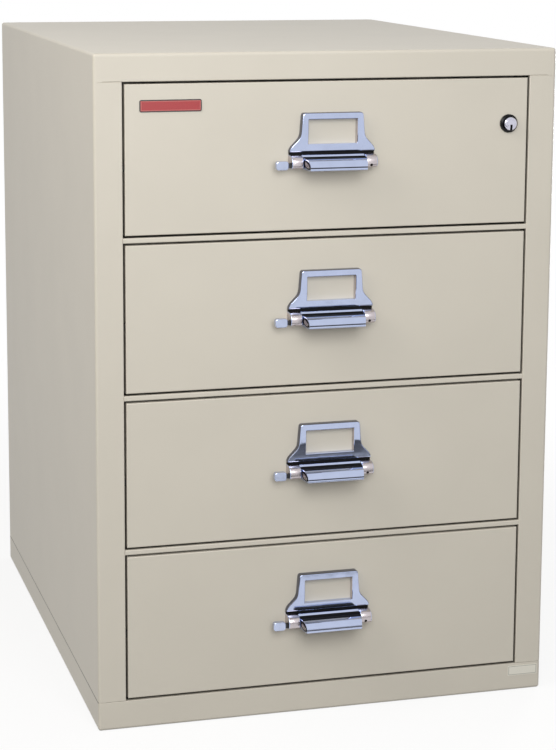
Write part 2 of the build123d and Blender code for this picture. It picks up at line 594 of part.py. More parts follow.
        # cheeks
        for x0 in (-PULL_HALF, GRIP_X):
            with BuildSketch(Plane.YZ.offset(x0)):
                with BuildLine():
                    Polyline(
                        (FRONT, centre + SHELF_UP),
                        (FRONT - SHELF_REACH, centre + SHELF_UP),
                        (FRONT - CHEEK_REACH + CHEEK_SLOPE, centre),
                        (FRONT - CHEEK_REACH, centre - CHEEK_BROW),
                        (FRONT - CHEEK_REACH, centre - CHEEK_LOW),
                        (FRONT, centre - CHEEK_LOW),
                        close=True,
                    )
                make_face()
            extrude(amount=CHEEK_W)
        # room in the left cheek for the latch's link, and the hole that its shank comes through
        block(LINK_X0 - LATCH_CLEAR, LINK_X1 + LATCH_TRAVEL + LATCH_CLEAR,
              FRONT - TAB_FRONT + LINK_INSET - LATCH_CLEAR, FRONT,
              rod_foot - LATCH_CLEAR, rod_top + LATCH_CLEAR, mode=Mode.SUBTRACT)
        block(-PULL_HALF, LINK_X0, FRONT - TAB_FRONT + LINK_INSET - LATCH_CLEAR,
              TAB_REAR - LINK_INSET + LATCH_CLEAR,
              rod_foot - LATCH_CLEAR, rod_top + LATCH_CLEAR, mode=Mode.SUBTRACT)
    pull.part.label = f"drawer_{number}_pull"
    export_step(pull.part, f"parts/drawer_{number}_pull.step")

    # Thumb latch: tab, shank, link through the face, rod and bolt in one piece
    with BuildPart() as thumb_latch:
        with BuildSketch(Plane.XZ.offset(-TAB_REAR)):
            with Locations((TAB_X - TAB_W / 2, latch_z)):
                RectangleRounded(TAB_W, TAB_H, TAB_R)
        extrude(amount=TAB_T)
        fillet(thumb_latch.faces().sort_by(Axis.Y)[0].edges(), radius=CASTING_R)
        block(TAB_X - TAB_R, LINK_X1, FRONT - TAB_FRONT + LINK_INSET, TAB_REAR - LINK_INSET,
              rod_foot, rod_top)
        block(LINK_X0, LINK_X1, FRONT - TAB_FRONT + LINK_INSET, ROD_REAR, rod_foot, rod_top)
        block(BOLT_X, LINK_X1, ROD_FRONT, ROD_REAR, rod_foot, rod_top)
        block(BOLT_X, BOLT_X + BOLT_LEN, ROD_FRONT - BOLT_EXTRA, ROD_REAR + BOLT_EXTRA,
              latch_z - BOLT_HALF, latch_z + BOLT_HALF)
        chamfer(
            thumb_latch.edges().filter_by(Axis.Z).group_by(Axis.X)[0].sort_by(Axis.Y)[-1],
            length=BOLT_CHAMFER,
        )
    thumb_latch.part.label = f"thumb_latch_{number}"
    export_step(thumb_latch.part, f"parts/thumb_latch_{number}.step")

# Lock collar: black ring with the sleeve that holds it in the face
SLEEVE_BORE = BARREL_R + BARREL_CLEAR
with BuildPart() as lock_collar:
    with BuildSketch(Plane.XZ.offset(-FRONT)):
        with Locations((LOCK_X, LOCK_Z)):
            Circle(COLLAR_R)
    extrude(amount=COLLAR_T)
    chamfer(lock_collar.faces().sort_by(Axis.Y)[0].edges(), length=COLLAR_CHAMFER)
    with BuildSketch(Plane.XZ.offset(-FRONT)):
        with Locations((LOCK_X, LOCK_Z)):
            Circle(SLEEVE_BORE + SLEEVE_WALL)
    extrude(amount=-SLEEVE_LEN)
    with BuildSketch(Plane.XZ.offset(-FRONT + COLLAR_T)):
        with Locations((LOCK_X, LOCK_Z)):
            Circle(SLEEVE_BORE)
    extrude(amount=-COLLAR_T - SLEEVE_LEN, mode=Mode.SUBTRACT)
lock_collar.part.label = "lock_collar"
export_step(lock_collar.part, "parts/lock_collar.step")

# Lock plunger: barrel, and the arm whose ramp lifts the lock bar when the barrel is pushed in
CATCH_Z = FACE_CENTRES[0] + CATCH_OFFSET
BARREL_FRONT = FRONT - BARREL_PROUD
ARM_REAR = CATCH_FRONT - LOCK_TRAVEL - ARM_CLEAR
RAMP_FOOT = CATCH_Z - CATCH_H / 2 - RAMP_CLEAR
NOSE_X0 = CATCH_TIP - POCKET_CLEAR / 2
NOSE_X1 = NOSE_X0 + ARM_W
with BuildPart() as lock_plunger:
    with BuildSketch(Plane.XZ.offset(-BARREL_FRONT)):
        with Locations((LOCK_X, LOCK_Z)):
            Circle(BARREL_R)
    extrude(amount=-BARREL_LEN)
    chamfer(lock_plunger.faces().sort_by(Axis.Y)[0].edges(), length=BARREL_CHAMFER)
    with BuildSketch(Plane.XZ.offset(-BARREL_FRONT)):
        with Locations((LOCK_X, LOCK_Z)):
            Circle(PLUG_R + PLUG_CLEAR)
    extrude(amount=-PLUG_LEN - PLUG_CLEAR, mode=Mode.SUBTRACT)
    # arm from the barrel's end to the right, down to the ramp
    block(LOCK_X - BARREL_R / 2, NOSE_X1, BARREL_FRONT + BARREL_LEN, ARM_REAR,
          LOCK_Z - BARREL_R / 2, LOCK_Z + BARREL_R / 2)
    block(NOSE_X0, NOSE_X1, ARM_REAR - ARM_T, ARM_REAR, RAMP_FOOT - LOCK_TRAVEL, LOCK_Z)
    with BuildSketch(Plane.YZ.offset(NOSE_X0)):
        with BuildLine():
            Polyline(
                (ARM_REAR - ARM_T, RAMP_FOOT - LOCK_TRAVEL),
                (CATCH_FRONT, RAMP_FOOT - LOCK_TRAVEL),
                (CATCH_FRONT, RAMP_FOOT),
                (CATCH_FRONT - LOCK_TRAVEL, RAMP_FOOT + LOCK_TRAVEL),
                (ARM_REAR - ARM_T, RAMP_FOOT + LOCK_TRAVEL),
                close=True,
            )
        make_face()
    extrude(amount=NOSE_X1 - NOSE_X0)
lock_plunger.part.label = "lock_plunger"
export_step(lock_plunger.part, "parts/lock_plunger.step")

# Key plug, which turns in the barrel
with BuildPart() as key_plug:
    with BuildSketch(Plane.XZ.offset(-BARREL_FRONT + PLUG_PROUD)):
        with Locations((LOCK_X, LOCK_Z)):
            Circle(PLUG_R)
    extrude(amount=-PLUG_LEN - PLUG_PROUD)
    with BuildSketch(Plane.XZ.offset(-BARREL_FRONT + PLUG_PROUD)):
        with Locations((LOCK_X, LOCK_Z)):
            Rectangle(KEYWAY_W, KEYWAY_H)
    extrude(amount=-KEYWAY_DEPTH, mode=Mode.SUBTRACT)
key_plug.part.label = "key_plug"
export_step(key_plug.part, "parts/key_plug.step")

# Lock bar: a flat bar in the right jamb with one catch for each drawer
with BuildPart() as lock_bar:
    block(BAR_X, BAR_X + BAR_T, CATCH_FRONT, SHOULDER_Y + LINER_T - BAR_SEAT,
          BASE_H + BAR_ENDS, OPENING_TOP - BAR_ENDS)
    for centre in FACE_CENTRES:
        catch_z = centre + CATCH_OFFSET
        block(CATCH_TIP, BAR_X, CATCH_FRONT, CATCH_REAR, catch_z - CATCH_H / 2, catch_z + CATCH_H / 2)
lock_bar.part.label = "lock_bar"
export_step(lock_bar.part, "parts/lock_bar.step")

# Badge on the top drawer: a plain plate
with BuildPart() as badge_plate:
    with BuildSketch(Plane.XZ.offset(-FRONT)):
        with Locations((-JAMB_X + BADGE_IN + BADGE_W / 2, FACE_CENTRES[0] + BADGE_UP)):
            RectangleRounded(BADGE_W, BADGE_H, BADGE_R)
    extrude(amount=BADGE_T)
    chamfer(badge_plate.faces().sort_by(Axis.Y)[0].edges(), length=BADGE_CHAMFER)
badge_plate.part.label = "badge_plate"
export_step(badge_plate.part, "parts/badge_plate.step")

# Blank label on the base band
with BuildPart() as blank_label:
    with BuildSketch(Plane.XZ.offset(-FRONT)):
        with Locations((SIDE - LABEL_IN - LABEL_W / 2, LABEL_UP)):
            RectangleRounded(LABEL_W, LABEL_H, LABEL_R)
    extrude(amount=LABEL_T)
blank_label.part.label = "blank_label"
export_step(blank_label.part, "parts/blank_label.step")
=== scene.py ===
# %% [markdown]
# An insulated filing cabinet in putty enamel
#
# The steel cabinet, its drawers, slides, latches and lock come in as finished solids. This file gives
# every surface its real finish, and also paints shade and reflections into the chrome, the recesses and
# the frame's reveals. It models what the solids leave plain: the chrome pulls, the front of the lock,
# screws, buffers, levers and the filled seams. It also sets up the studio and the camera. The scene is in
# metres in the cabinet's own frame: the front faces -Y, the drawers slide out that way, and the floor is at
# Z = 0. Shapes are given in millimetres, which MM turns into metres.

# %% The frame
import json
import math

import bmesh
import bpy
from mathutils import Matrix, Vector

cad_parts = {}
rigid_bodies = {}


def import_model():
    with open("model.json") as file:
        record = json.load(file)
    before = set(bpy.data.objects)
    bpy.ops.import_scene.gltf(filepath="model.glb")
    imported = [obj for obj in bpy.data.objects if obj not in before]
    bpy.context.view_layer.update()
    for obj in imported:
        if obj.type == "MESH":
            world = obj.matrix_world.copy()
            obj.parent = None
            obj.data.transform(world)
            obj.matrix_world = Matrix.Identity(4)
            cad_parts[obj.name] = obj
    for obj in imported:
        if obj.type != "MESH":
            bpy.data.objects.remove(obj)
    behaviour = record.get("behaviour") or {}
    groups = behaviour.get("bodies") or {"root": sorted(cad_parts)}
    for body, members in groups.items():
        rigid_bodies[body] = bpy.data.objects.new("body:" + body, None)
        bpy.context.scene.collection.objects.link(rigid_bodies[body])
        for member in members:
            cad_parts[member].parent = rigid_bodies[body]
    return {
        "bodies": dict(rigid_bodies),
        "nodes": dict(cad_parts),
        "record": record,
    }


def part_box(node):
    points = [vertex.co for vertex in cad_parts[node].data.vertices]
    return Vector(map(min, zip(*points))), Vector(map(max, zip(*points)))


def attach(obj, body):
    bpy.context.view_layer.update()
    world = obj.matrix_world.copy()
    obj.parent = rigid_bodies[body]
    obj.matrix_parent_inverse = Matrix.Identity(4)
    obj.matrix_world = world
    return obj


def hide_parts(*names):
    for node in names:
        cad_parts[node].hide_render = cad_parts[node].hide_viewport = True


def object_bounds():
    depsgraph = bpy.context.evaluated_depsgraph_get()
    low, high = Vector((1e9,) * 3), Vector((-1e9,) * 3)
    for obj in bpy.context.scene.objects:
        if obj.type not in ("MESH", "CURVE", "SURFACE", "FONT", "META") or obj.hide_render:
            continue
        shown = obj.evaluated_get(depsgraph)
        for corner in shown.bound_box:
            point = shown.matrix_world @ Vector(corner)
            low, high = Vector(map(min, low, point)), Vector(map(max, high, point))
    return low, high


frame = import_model()
cad_low, cad_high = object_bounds()
DRAWERS = sorted(name for name in frame["bodies"] if name.startswith("drawer_"))
MM = 0.001
CABINET_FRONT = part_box("left_side_panel")[0].y
FACE_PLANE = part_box("drawer_1_face")[0].y
print(f"{len(frame['nodes'])} solids, {len(DRAWERS)} drawers, box {tuple(cad_low)} to {tuple(cad_high)}")

# %% [markdown]
# Objects and meshes
#
# A lamp, a screw and a finished casting all enter the scene in the same way, and every mesh that is built
# face by face is stored in the same way. Small parts find their place from the middle of a solid's box.

# %% Objects and meshes
def new_object(name, data):
    """An object of the scene that holds this mesh, lamp or camera."""
    made = bpy.data.objects.new(name, data)
    bpy.context.scene.collection.objects.link(made)
    return made


def plain_mesh(bm, name):
    """Ends the work on a mesh and stores it."""
    mesh = bpy.data.meshes.new(name)
    bm.to_mesh(mesh)
    bm.free()
    return mesh


def middle_of(box, axis="z"):
    """The middle of a box along one axis."""
    low, high = box
    return (getattr(low, axis) + getattr(high, axis)) / 2


print("helpers ready")

# %% [markdown]
# The camera
#
# The picture was taken with a long lens from the left, a little above the cabinet's top, and the horizon
# lies above the frame. A shift lens kept the cabinet's uprights nearly parallel, so this camera has a small
# shift too, and looks down for the rest. The angles are turns about Z (to the right), the camera's own X
# (down) and its line of sight.

# %% Camera
EYE = Vector((-0.818, -3.036, 1.089))
LOOK_RIGHT = 15.80
LOOK_DOWN = 9.45
ROLL = 0.32
LENS_MM = 99.9
SENSOR_MM = 36.0
SHIFT_DOWN = 0.15

camera_data = bpy.data.cameras.new("camera")
camera_data.lens = LENS_MM
camera_data.sensor_width = SENSOR_MM
camera_data.shift_y = -SHIFT_DOWN
camera_data.clip_start = 0.05
camera_data.clip_end = 60.0
camera = new_object("camera", camera_data)
camera.matrix_world = (
    Matrix.Translation(EYE)
    @ Matrix.Rotation(math.radians(-LOOK_RIGHT), 4, "Z")
    @ Matrix.Rotation(math.radians(90 - LOOK_DOWN), 4, "X")
    @ Matrix.Rotation(math.radians(ROLL), 4, "Z")
)
bpy.context.scene.camera = camera
print("camera at", tuple(EYE), "lens", LENS_MM, "mm")

# %% [markdown]
# Shader maths as plain sums
#
# A finish is easier to read as a sum than as a drawing of wires. This class holds one socket of a
# material's node tree. Adding, multiplying or subtracting two of them adds the Math node that does it,
# and `node` adds any other node: its settings first, then the values or links of its sockets. Noise and
# bumps are given by their real size, so that a finish looks the same on a large panel and on a screw.

# %% One class for node sockets
class Field:
    """A value that varies over a surface."""

    def __init__(self, tree, socket):
        self.tree = tree
        self.socket = socket

    def node(self, kind, settings, inputs, output=0):
        """What a new node gives out, with these settings and these values or links going in."""
        made = self.tree.nodes.new(kind)
        for name, value in settings.items():
            setattr(made, name, value)
        for name, value in inputs.items():
            if isinstance(value, Field):
                self.tree.links.new(value.socket, made.inputs[name])
            elif isinstance(value, tuple) and made.inputs[name].type == "RGBA":
                made.inputs[name].default_value = (*value, 1)
            else:
                made.inputs[name].default_value = value
        return Field(self.tree, made.outputs[output])

    def maths(self, operation, other=0.0):
        """This value and the other, put through a Math node."""
        return self.node("ShaderNodeMath", {"operation": operation}, {0: self, 1: other})

    def __add__(self, other):
        return self.maths("ADD", other)

    def __sub__(self, other):
        return self.maths("SUBTRACT", other)

    def __rsub__(self, other):
        return self.node("ShaderNodeMath", {"operation": "SUBTRACT"}, {0: other, 1: self})

    def __mul__(self, other):
        return self.maths("MULTIPLY", other)

    def clamped(self):
        """This value, kept between 0 and 1."""
        return self.node("ShaderNodeClamp", {}, {"Value": self})

    def along(self, axis):
        """This point's X, Y or Z."""
        return self.node("ShaderNodeSeparateXYZ", {}, {0: self}, axis)

    def step(self, low, high):
        """0 below low, 1 above high, and a straight slope between."""
        return self.node("ShaderNodeMapRange", {}, {"Value": self, "From Min": low, "From Max": high})

    def blend(self, first, second):
        """The first colour where this is 0, the second where it is 1."""
        return self.node("ShaderNodeMix", {"data_type": "RGBA"}, {0: self, 6: first, 7: second}, 2)

    def noise(self, scale, detail, stretch=None):
        """Noise at this point, `scale` bumps to the metre, drawn out along an axis by stretch."""
        point = self
        if stretch:
            point = self.node("ShaderNodeMapping", {}, {"Vector": self, "Scale": stretch})
        return point.node("ShaderNodeTexNoise", {}, {"Vector": point, "Scale": scale, "Detail": detail})

    def bump(self):
        """A normal that follows this height, which is in metres."""
        return self.node("ShaderNodeBump", {}, {"Height": self, "Strength": 1.0, "Distance": 1.0})


print("sockets ready")

# %% [markdown]
# Colours and materials
#
# A finish starts as a plain shader and a point of the surface in the part's own coordinates, so that its
# pattern stays with the part when it moves. Colours are given as a screen shows them, which is how they
# are compared with the picture.

# %% Colours and materials
def srgb(red, green, blue):
    """A colour given as it is seen on a screen, 0 to 255, as the shader's linear values."""
    return tuple(
        v / 255 / 12.92 if v <= 10 else ((v / 255 + 0.055) / 1.055) ** 2.4 for v in (red, green, blue)
    )


def new_finish(name):
    """An empty material: itself, its shader's sockets, and the surface point as a Field."""
    material = bpy.data.materials.new(name)
    material.use_nodes = True
    tree = material.node_tree
    shader = tree.nodes["Principled BSDF"]
    coords = tree.nodes.new("ShaderNodeTexCoord")
    return material, shader, Field(tree, coords.outputs["Object"])


def dress(shader, **values):
    """Sets the shader's sockets, named as in Blender with _ for a space."""
    for name, value in values.items():
        socket = shader.inputs[name.replace("_", " ")]
        if isinstance(value, Field):
            value.tree.links.new(value.socket, socket)
        elif isinstance(value, tuple):
            socket.default_value = (*value, 1)
        else:
            socket.default_value = value


print("materials ready")

# %% [markdown]
# The surround
#
# The picture is a catalogue cut-out, white all round, and an even white surround does most of the
# lighting. It is fully white to the camera and to reflections only, through Light Path, so that it lights
# the cabinet less than it shows.

# %% World
AMBIENT = 0.43


def ray_is(tree, kind):
    """1 for rays of this kind, 0 for all others."""
    return Field(tree, tree.nodes.new("ShaderNodeLightPath").outputs[f"Is {kind} Ray"])


def seen_directly(tree):
    """1 for the camera and for reflections and glass, 0 for the light that falls on the cabinet."""
    return (ray_is(tree, "Camera") + ray_is(tree, "Glossy") + ray_is(tree, "Transmission")).clamped()


world = bpy.data.worlds.new("studio")
world.use_nodes = True
backdrop = world.node_tree.nodes["Background"]
backdrop.inputs["Color"].default_value = (1, 1, 1, 1)
strength = seen_directly(world.node_tree) * (1 - AMBIENT) + AMBIENT
world.node_tree.links.new(strength.socket, backdrop.inputs["Strength"])
bpy.context.scene.world = world
bpy.context.scene.view_settings.view_transform = "Standard"
print("surround lit")

# %% [markdown]
# The floor
#
# A wide white sheet, as in a studio. It shows a faint shadow near the cabinet and turns plain white farther
# out, and it throws back less light than it shows.
#
# Chrome shows what stands round it, and in an all-white room it looks like grey paint. A strip of the floor
# a metre in front of the cabinet is therefore dark to reflections: the lower pulls catch it in their
# curves, as they do in the picture.

# %% Floor
FLOOR_HALF = 20.0
FLOOR_TONE = 0.95
FLOOR_BOUNCE = 0.22  # grey that the cabinet is lit from below by
SHADOW_SHARE = 0.18  # how much of the lit floor shows near the cabinet; the rest is plain white
SHADOW_FROM, SHADOW_TO = 0.8, 2.0  # metres from the cabinet's middle over which the floor turns white
STRIP_FAR, STRIP_NEAR = (-1.56, -1.43), (-0.98, -1.06)  # Y from where to where the strip grows dark
STRIP_TONE = (0.012, 0.012, 0.016)

floor_finish, floor_shader, floor_point = new_finish("studio_floor")
floor_tree = floor_finish.node_tree
seen_tone = seen_directly(floor_tree).blend((FLOOR_BOUNCE,) * 3, (FLOOR_TONE,) * 3)
dress(floor_shader, Base_Color=seen_tone, Roughness=0.9)
from_middle = floor_point.node("ShaderNodeVectorMath", {"operation": "LENGTH"}, {0: floor_point}, "Value")
plain = from_middle.step(SHADOW_FROM, SHADOW_TO) * SHADOW_SHARE + (1 - SHADOW_SHARE)
strip = floor_point.along("Y").step(*STRIP_FAR) * floor_point.along("Y").step(*STRIP_NEAR)
glow_colour = (strip * ray_is(floor_tree, "Glossy")).blend((1.0, 1.0, 1.0), STRIP_TONE)
glow = floor_tree.nodes.new("ShaderNodeEmission")
floor_tree.links.new(glow_colour.socket, glow.inputs["Color"])
mix = floor_tree.nodes.new("ShaderNodeMixShader")
floor_tree.links.new((plain * seen_directly(floor_tree)).socket, mix.inputs[0])
floor_tree.links.new(floor_shader.outputs[0], mix.inputs[1])
floor_tree.links.new(glow.outputs[0], mix.inputs[2])
floor_tree.links.new(mix.outputs[0], floor_tree.nodes["Material Output"].inputs["Surface"])

bm = bmesh.new()
bmesh.ops.create_grid(bm, x_segments=1, y_segments=1, size=FLOOR_HALF)
floor = new_object("floor", plain_mesh(bm, "floor"))
floor.data.materials.append(floor_finish)
print("floor laid")

# %% [markdown]
# The softboxes
#
# In the picture the front falls off gently from its top left to its bottom right. Two large softboxes,
# above the cabinet's top and close to it, make that fall: one for the front and a warmer one for the left
# side. A third stands low behind the right corner, so that the other two sides aren't dull.

# %% Softboxes
SOFTBOXES = [  # watts, size, colour, place, and the point it is aimed at
    (27.0, 1.3, (1.0, 1.0, 1.0), (-0.28, -2.20, 1.40), (0.05, -0.40, 0.80)),
    (19.5, 1.3, (1.0, 0.95, 0.88), (-1.75, -0.85, 1.95), (-0.32, -0.10, 0.70)),
    (42.0, 0.8, (1.0, 1.0, 1.0), (2.00, 2.10, 0.48), (0.25, 0.25, 0.48)),
]

for watts, size, colour, place, aim in SOFTBOXES:
    lamp = bpy.data.lights.new("softbox", "AREA")
    lamp.energy = watts
    lamp.size = size
    lamp.color = colour
    softbox = new_object("softbox", lamp)
    softbox.location = place
    softbox.rotation_euler = (Vector(aim) - Vector(place)).to_track_quat("-Z", "Y").to_euler()
print(len(SOFTBOXES), "softboxes placed")

# %% [markdown]
# Baked enamel
#
# The cabinet is sprayed putty and baked, which leaves a satin skin with a fine orange peel. Three things
# make that read as paint on sheet steel: the peel itself, a broad waviness of the sheet that only the
# reflections show, and a slight unevenness of tone. The same recipe, greyer and a little glossier, is
# used inside the compartments and on the trays.
#
# Round the drawers the frame's own reveals, a few millimetres behind the front, are painted dark as shade,
# so that the gaps read as gaps. The mask for that painted shade is a box in the cabinet's frame: the
# opening, behind the front. On the sides the seam above the skirt shows as a thin dark line, painted as
# dirt and shade in the seam.

# %% Enamel
PEEL_PER_M, PEEL_DEPTH = 420.0, 0.00004
PEEL_ROUGHNESS = 0.10  # how much the roughness changes from speck to speck
WAVE_PER_M, WAVE_DEPTH = 3.5, 0.0010
TONE_PER_M = 9.0
OPENING_HALF, OPENING_LOW, OPENING_HIGH = 282.5, 40.0, 877.0
REVEAL_FROM, REVEAL_TO = 1.0, 9.0  # behind the cabinet's front
MASK_MARGIN = 0.6  # by which the reveals' mask is larger than the opening
DIRT_AND_SHADE_HALF = 1.0  # half the width of the line of dirt and painted shade along the skirt's seam
PUTTY = srgb(208, 202, 189)


def reveal_shade_mask(point):
    """1 on the frame's surfaces that face into the opening, behind its front edge, where shade is painted.
    """
    behind = point.along("Y").step(CABINET_FRONT + REVEAL_FROM * MM, CABINET_FRONT + REVEAL_TO * MM)
    inside = point.along("X").maths("ABSOLUTE").maths("LESS_THAN", (OPENING_HALF + MASK_MARGIN) * MM)
    above = point.along("Z").maths("GREATER_THAN", (OPENING_LOW - MASK_MARGIN) * MM)
    below = point.along("Z").maths("LESS_THAN", (OPENING_HIGH + MASK_MARGIN) * MM)
    return behind * inside * above * below


def at_skirt_seam(point):
    """1 on the cabinet's sides where the skirt meets the panels: a line of dirt and painted shade."""
    on_side = point.along("X").maths("ABSOLUTE").maths("GREATER_THAN", cad_high.x - 0.5 * MM)
    from_seam = (point.along("Z") - OPENING_LOW * MM).maths("ABSOLUTE")
    return on_side * from_seam.step(1.2 * DIRT_AND_SHADE_HALF * MM, 0.8 * DIRT_AND_SHADE_HALF * MM)


def enamel(name, colour, roughness, mottle, paint_reveal_shade=False):
    """Baked enamel of this colour, a share `mottle` lighter in some places and darker in others."""
    material, shader, point = new_finish(name)
    tone = point.noise(TONE_PER_M, 3.0).step(0.3, 0.7)
    lighter = tuple(min(v * (1 + mottle), 1) for v in colour)
    darker = tuple(v * (1 - mottle) for v in colour)
    shade = tone.blend(darker, lighter)
    if paint_reveal_shade:
        # Painted shade: the frame's reveals behind the front are painted near black.
        shade = reveal_shade_mask(point).blend(shade, srgb(38, 35, 30))
        # A thin dark line at the skirt's seam: partly dirt, partly painted shade in the seam.
        shade = at_skirt_seam(point).blend(shade, srgb(112, 104, 92))
    speck = point.noise(PEEL_PER_M, 1.0)
    height = speck * PEEL_DEPTH + point.noise(WAVE_PER_M, 1.0) * WAVE_DEPTH
    dress(
        shader,
        Base_Color=shade,
        Roughness=speck * PEEL_ROUGHNESS + (roughness - PEEL_ROUGHNESS / 2),
        Normal=height.bump(),
        IOR=1.42,
    )
    return material


cabinet_enamel = enamel("cabinet_enamel", PUTTY, 0.42, 0.015)
shaded_frame_enamel = enamel("shaded_frame_enamel", PUTTY, 0.42, 0.015, paint_reveal_shade=True)
liner_enamel = enamel("liner_enamel", srgb(188, 184, 175), 0.34, 0.02)
print("enamels mixed")

# %% [markdown]
# Cast gypsum
#
# The heads of the drawers and the walls of the cabinet are filled with gypsum, which shows only through
# the slots of an open drawer's head. It is chalky, with fine pores and faint stains where it met the steel.

# %% Gypsum
PORE_DEPTH = 0.0004

gypsum, shader, point = new_finish("gypsum")
pores = point.noise(900.0, 3.0).step(0.55, 0.75)
stain = point.noise(14.0, 3.0).step(0.35, 0.75)
dress(
    shader,
    Base_Color=(stain * 0.5 + pores * 0.3).blend(srgb(226, 221, 208), srgb(190, 182, 164)),
    Roughness=0.95,
    Normal=(pores * -PORE_DEPTH).bump(),
)
print("gypsum mixed")

# %% [markdown]
# Zinc plate
#
# Slides, rails and the lock bar are rolled strip, zinc plated after forming: a blue-grey metal, streaked
# along its length by the rolls, with cloudy patches where the plating took unevenly.

# %% Zinc plate
STREAK_DEPTH = 0.00003
ALONG_THE_STRIP = (1.0, 0.02, 1.0)

zinc_plate, shader, point = new_finish("zinc_plate")
streaks = point.noise(260.0, 2.0, stretch=ALONG_THE_STRIP)
clouds = point.noise(45.0, 3.0)
uneven = (clouds * 0.7 + streaks * 0.3).step(0.3, 0.7)
dress(
    shader,
    Base_Color=uneven.blend(srgb(164, 168, 172), srgb(186, 189, 192)),
    Metallic=1.0,
    Roughness=streaks * 0.14 + clouds * 0.08 + 0.30,
    Normal=(streaks * STREAK_DEPTH).bump(),
)
print("zinc plated")

# %% [markdown]
# Bright chrome
#
# The pulls are zinc castings with bright chrome plate, which looks faintly blue next to the warm putty.
# Plate this bright is never perfectly even: fingers leave it hazier in patches, and the casting under it
# waves a little. Cheeks and lips are less polished and look paler, and their pinkish tone is a painted
# reflection of the putty front. Rolled edges, the grip's hollow and a band under the bar's nose get a
# darker plate, a painted reflection of the darker half of a room. The bottoms of the recesses, the crease
# and the cut holes are painted nearly black as shade, and so is the latch but for its tab.

# %% Chrome
HAZE_PER_M = 60.0
RIPPLE_PER_M, RIPPLE_DEPTH = 90.0, 0.00006
SHANK_FROM = 63.2  # the latch's tab ends this far to the left of the pull's middle


def plating(point):
    """1 in patches that fingers left hazy, and a normal that ripples as the casting does."""
    ripple = point.noise(RIPPLE_PER_M, 1.0) * RIPPLE_DEPTH
    return point.noise(HAZE_PER_M, 3.0).step(0.35, 0.75), ripple.bump()


def chrome(name, colour, roughness, haze):
    """Chrome plate of this colour, rougher by `haze` in patches."""
    material, shader, point = new_finish(name)
    patches, rippled = plating(point)
    dress(
        shader,
        Base_Color=patches.blend(colour, tuple(v * 0.94 for v in colour)),
        Metallic=1.0,
        Roughness=patches * haze + roughness,
        Normal=rippled,
    )
    return material


chrome_casting = chrome("chrome_casting", srgb(186, 196, 224), 0.06, 0.06)
# Partly real and partly painted: less polished chrome, whose pinkish tone is a painted reflection of the
# putty front.
chrome_cheek = chrome("chrome_cheek", srgb(194, 186, 189), 0.22, 0.08)
# Painted reflection: a darker chrome for edges and hollows, standing in for a dark room mirrored in them.
chrome_dark_reflection = chrome("chrome_dark_reflection", srgb(104, 106, 118), 0.16, 0.06)
lock_chrome = chrome("lock_chrome", srgb(206, 206, 220), 0.12, 0.08)

# Painted shade: near black for recesses, holes, the crease and the furrow, where shade falls.
recess_shade_black, shader, point = new_finish("recess_shade_black")
shade_speckle = point.noise(120.0, 2.0)
dress(
    shader,
    Base_Color=shade_speckle.blend(srgb(4, 4, 6), srgb(13, 12, 14)),
    Roughness=shade_speckle * 0.3 + 0.45,
    Specular_IOR_Level=0.12,
)

latch_chrome, shader, point = new_finish("latch_chrome")
patches, rippled = plating(point)
# Painted shade: the shank beside the tab and everything behind the face plane are painted near black.
beside_tab = point.along("X").step((-SHANK_FROM - 0.1) * MM, (-SHANK_FROM + 0.1) * MM)
behind_face = point.along("Y").step(FACE_PLANE, FACE_PLANE + 0.5 * MM)
latch_painted_shade = beside_tab.maths("MAXIMUM", behind_face)
bright = patches.blend(srgb(190, 200, 226), srgb(180, 188, 212))
dress(
    shader,
    Base_Color=latch_painted_shade.blend(bright, srgb(14, 14, 18)),
    Metallic=1.0 - latch_painted_shade,
    Roughness=patches * 0.06 + latch_painted_shade * 0.4 + 0.08,
    Normal=rippled,
)
print("chrome plated")

# %% [markdown]
# Collar, badge and label
#
# The lock's collar is glossy black. The badge is a plain plate, enamelled red inside a dark rim, with a
# thin lighter line in the red. The label on the base is a blank off-white film with a thin printed border.
# Rims and lines are measured from the edges of the solids, so they follow these if they change.

# %% Small finishes
BADGE_RIM = 1.5
BADGE_LINE = (2.1, 2.6)  # from the edge
LABEL_BORDER = (1.1, 1.6)

black_collar, shader, point = new_finish("black_collar")
dust = point.noise(300.0, 2.0).step(0.4, 0.8)
dress(
    shader,
    Base_Color=dust.blend(srgb(4, 4, 6), srgb(12, 12, 13)),
    Roughness=dust * 0.12 + 0.16,
    Specular_IOR_Level=0.22,
)


def border_mask(point, node, width):
    """1 within `width` millimetres of the edges of a flat plate on the front, 0 inside."""
    low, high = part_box(node)
    rims = []
    for axis, near, far in (("X", low.x, high.x), ("Z", low.z, high.z)):
        place = point.along(axis)
        from_edge = (place - near).maths("MINIMUM", far - place)
        rims.append(from_edge.step(width * MM, 0.9 * width * MM))
    return rims[0].maths("MAXIMUM", rims[1])


def line_mask(point, node, near, far):
    """1 on a line round such a plate, between these distances from its edges."""
    return border_mask(point, node, far) - border_mask(point, node, near)


badge_enamel, shader, point = new_finish("badge_enamel")
grain = point.noise(500.0, 2.0)
red = grain.blend(srgb(150, 22, 28), srgb(170, 30, 36))
lined = line_mask(point, "badge_plate", *BADGE_LINE).blend(red, srgb(196, 120, 112))
dress(
    shader,
    Base_Color=border_mask(point, "badge_plate", BADGE_RIM).blend(lined, srgb(34, 26, 28)),
    Roughness=grain * 0.1 + 0.25,
    Coat_Weight=0.5,
)

label_film, shader, point = new_finish("label_film")
paper = point.noise(700.0, 2.0)
blank = paper.blend(srgb(222, 219, 206), srgb(230, 227, 216))
dress(
    shader,
    Base_Color=line_mask(point, "blank_label", *LABEL_BORDER).blend(blank, srgb(120, 118, 112)),
    Roughness=paper * 0.1 + 0.45,
)
print("small finishes mixed")

# %% [markdown]
# Finishes for the solids
#
# Each solid of the frame takes the finish that the record names for it.

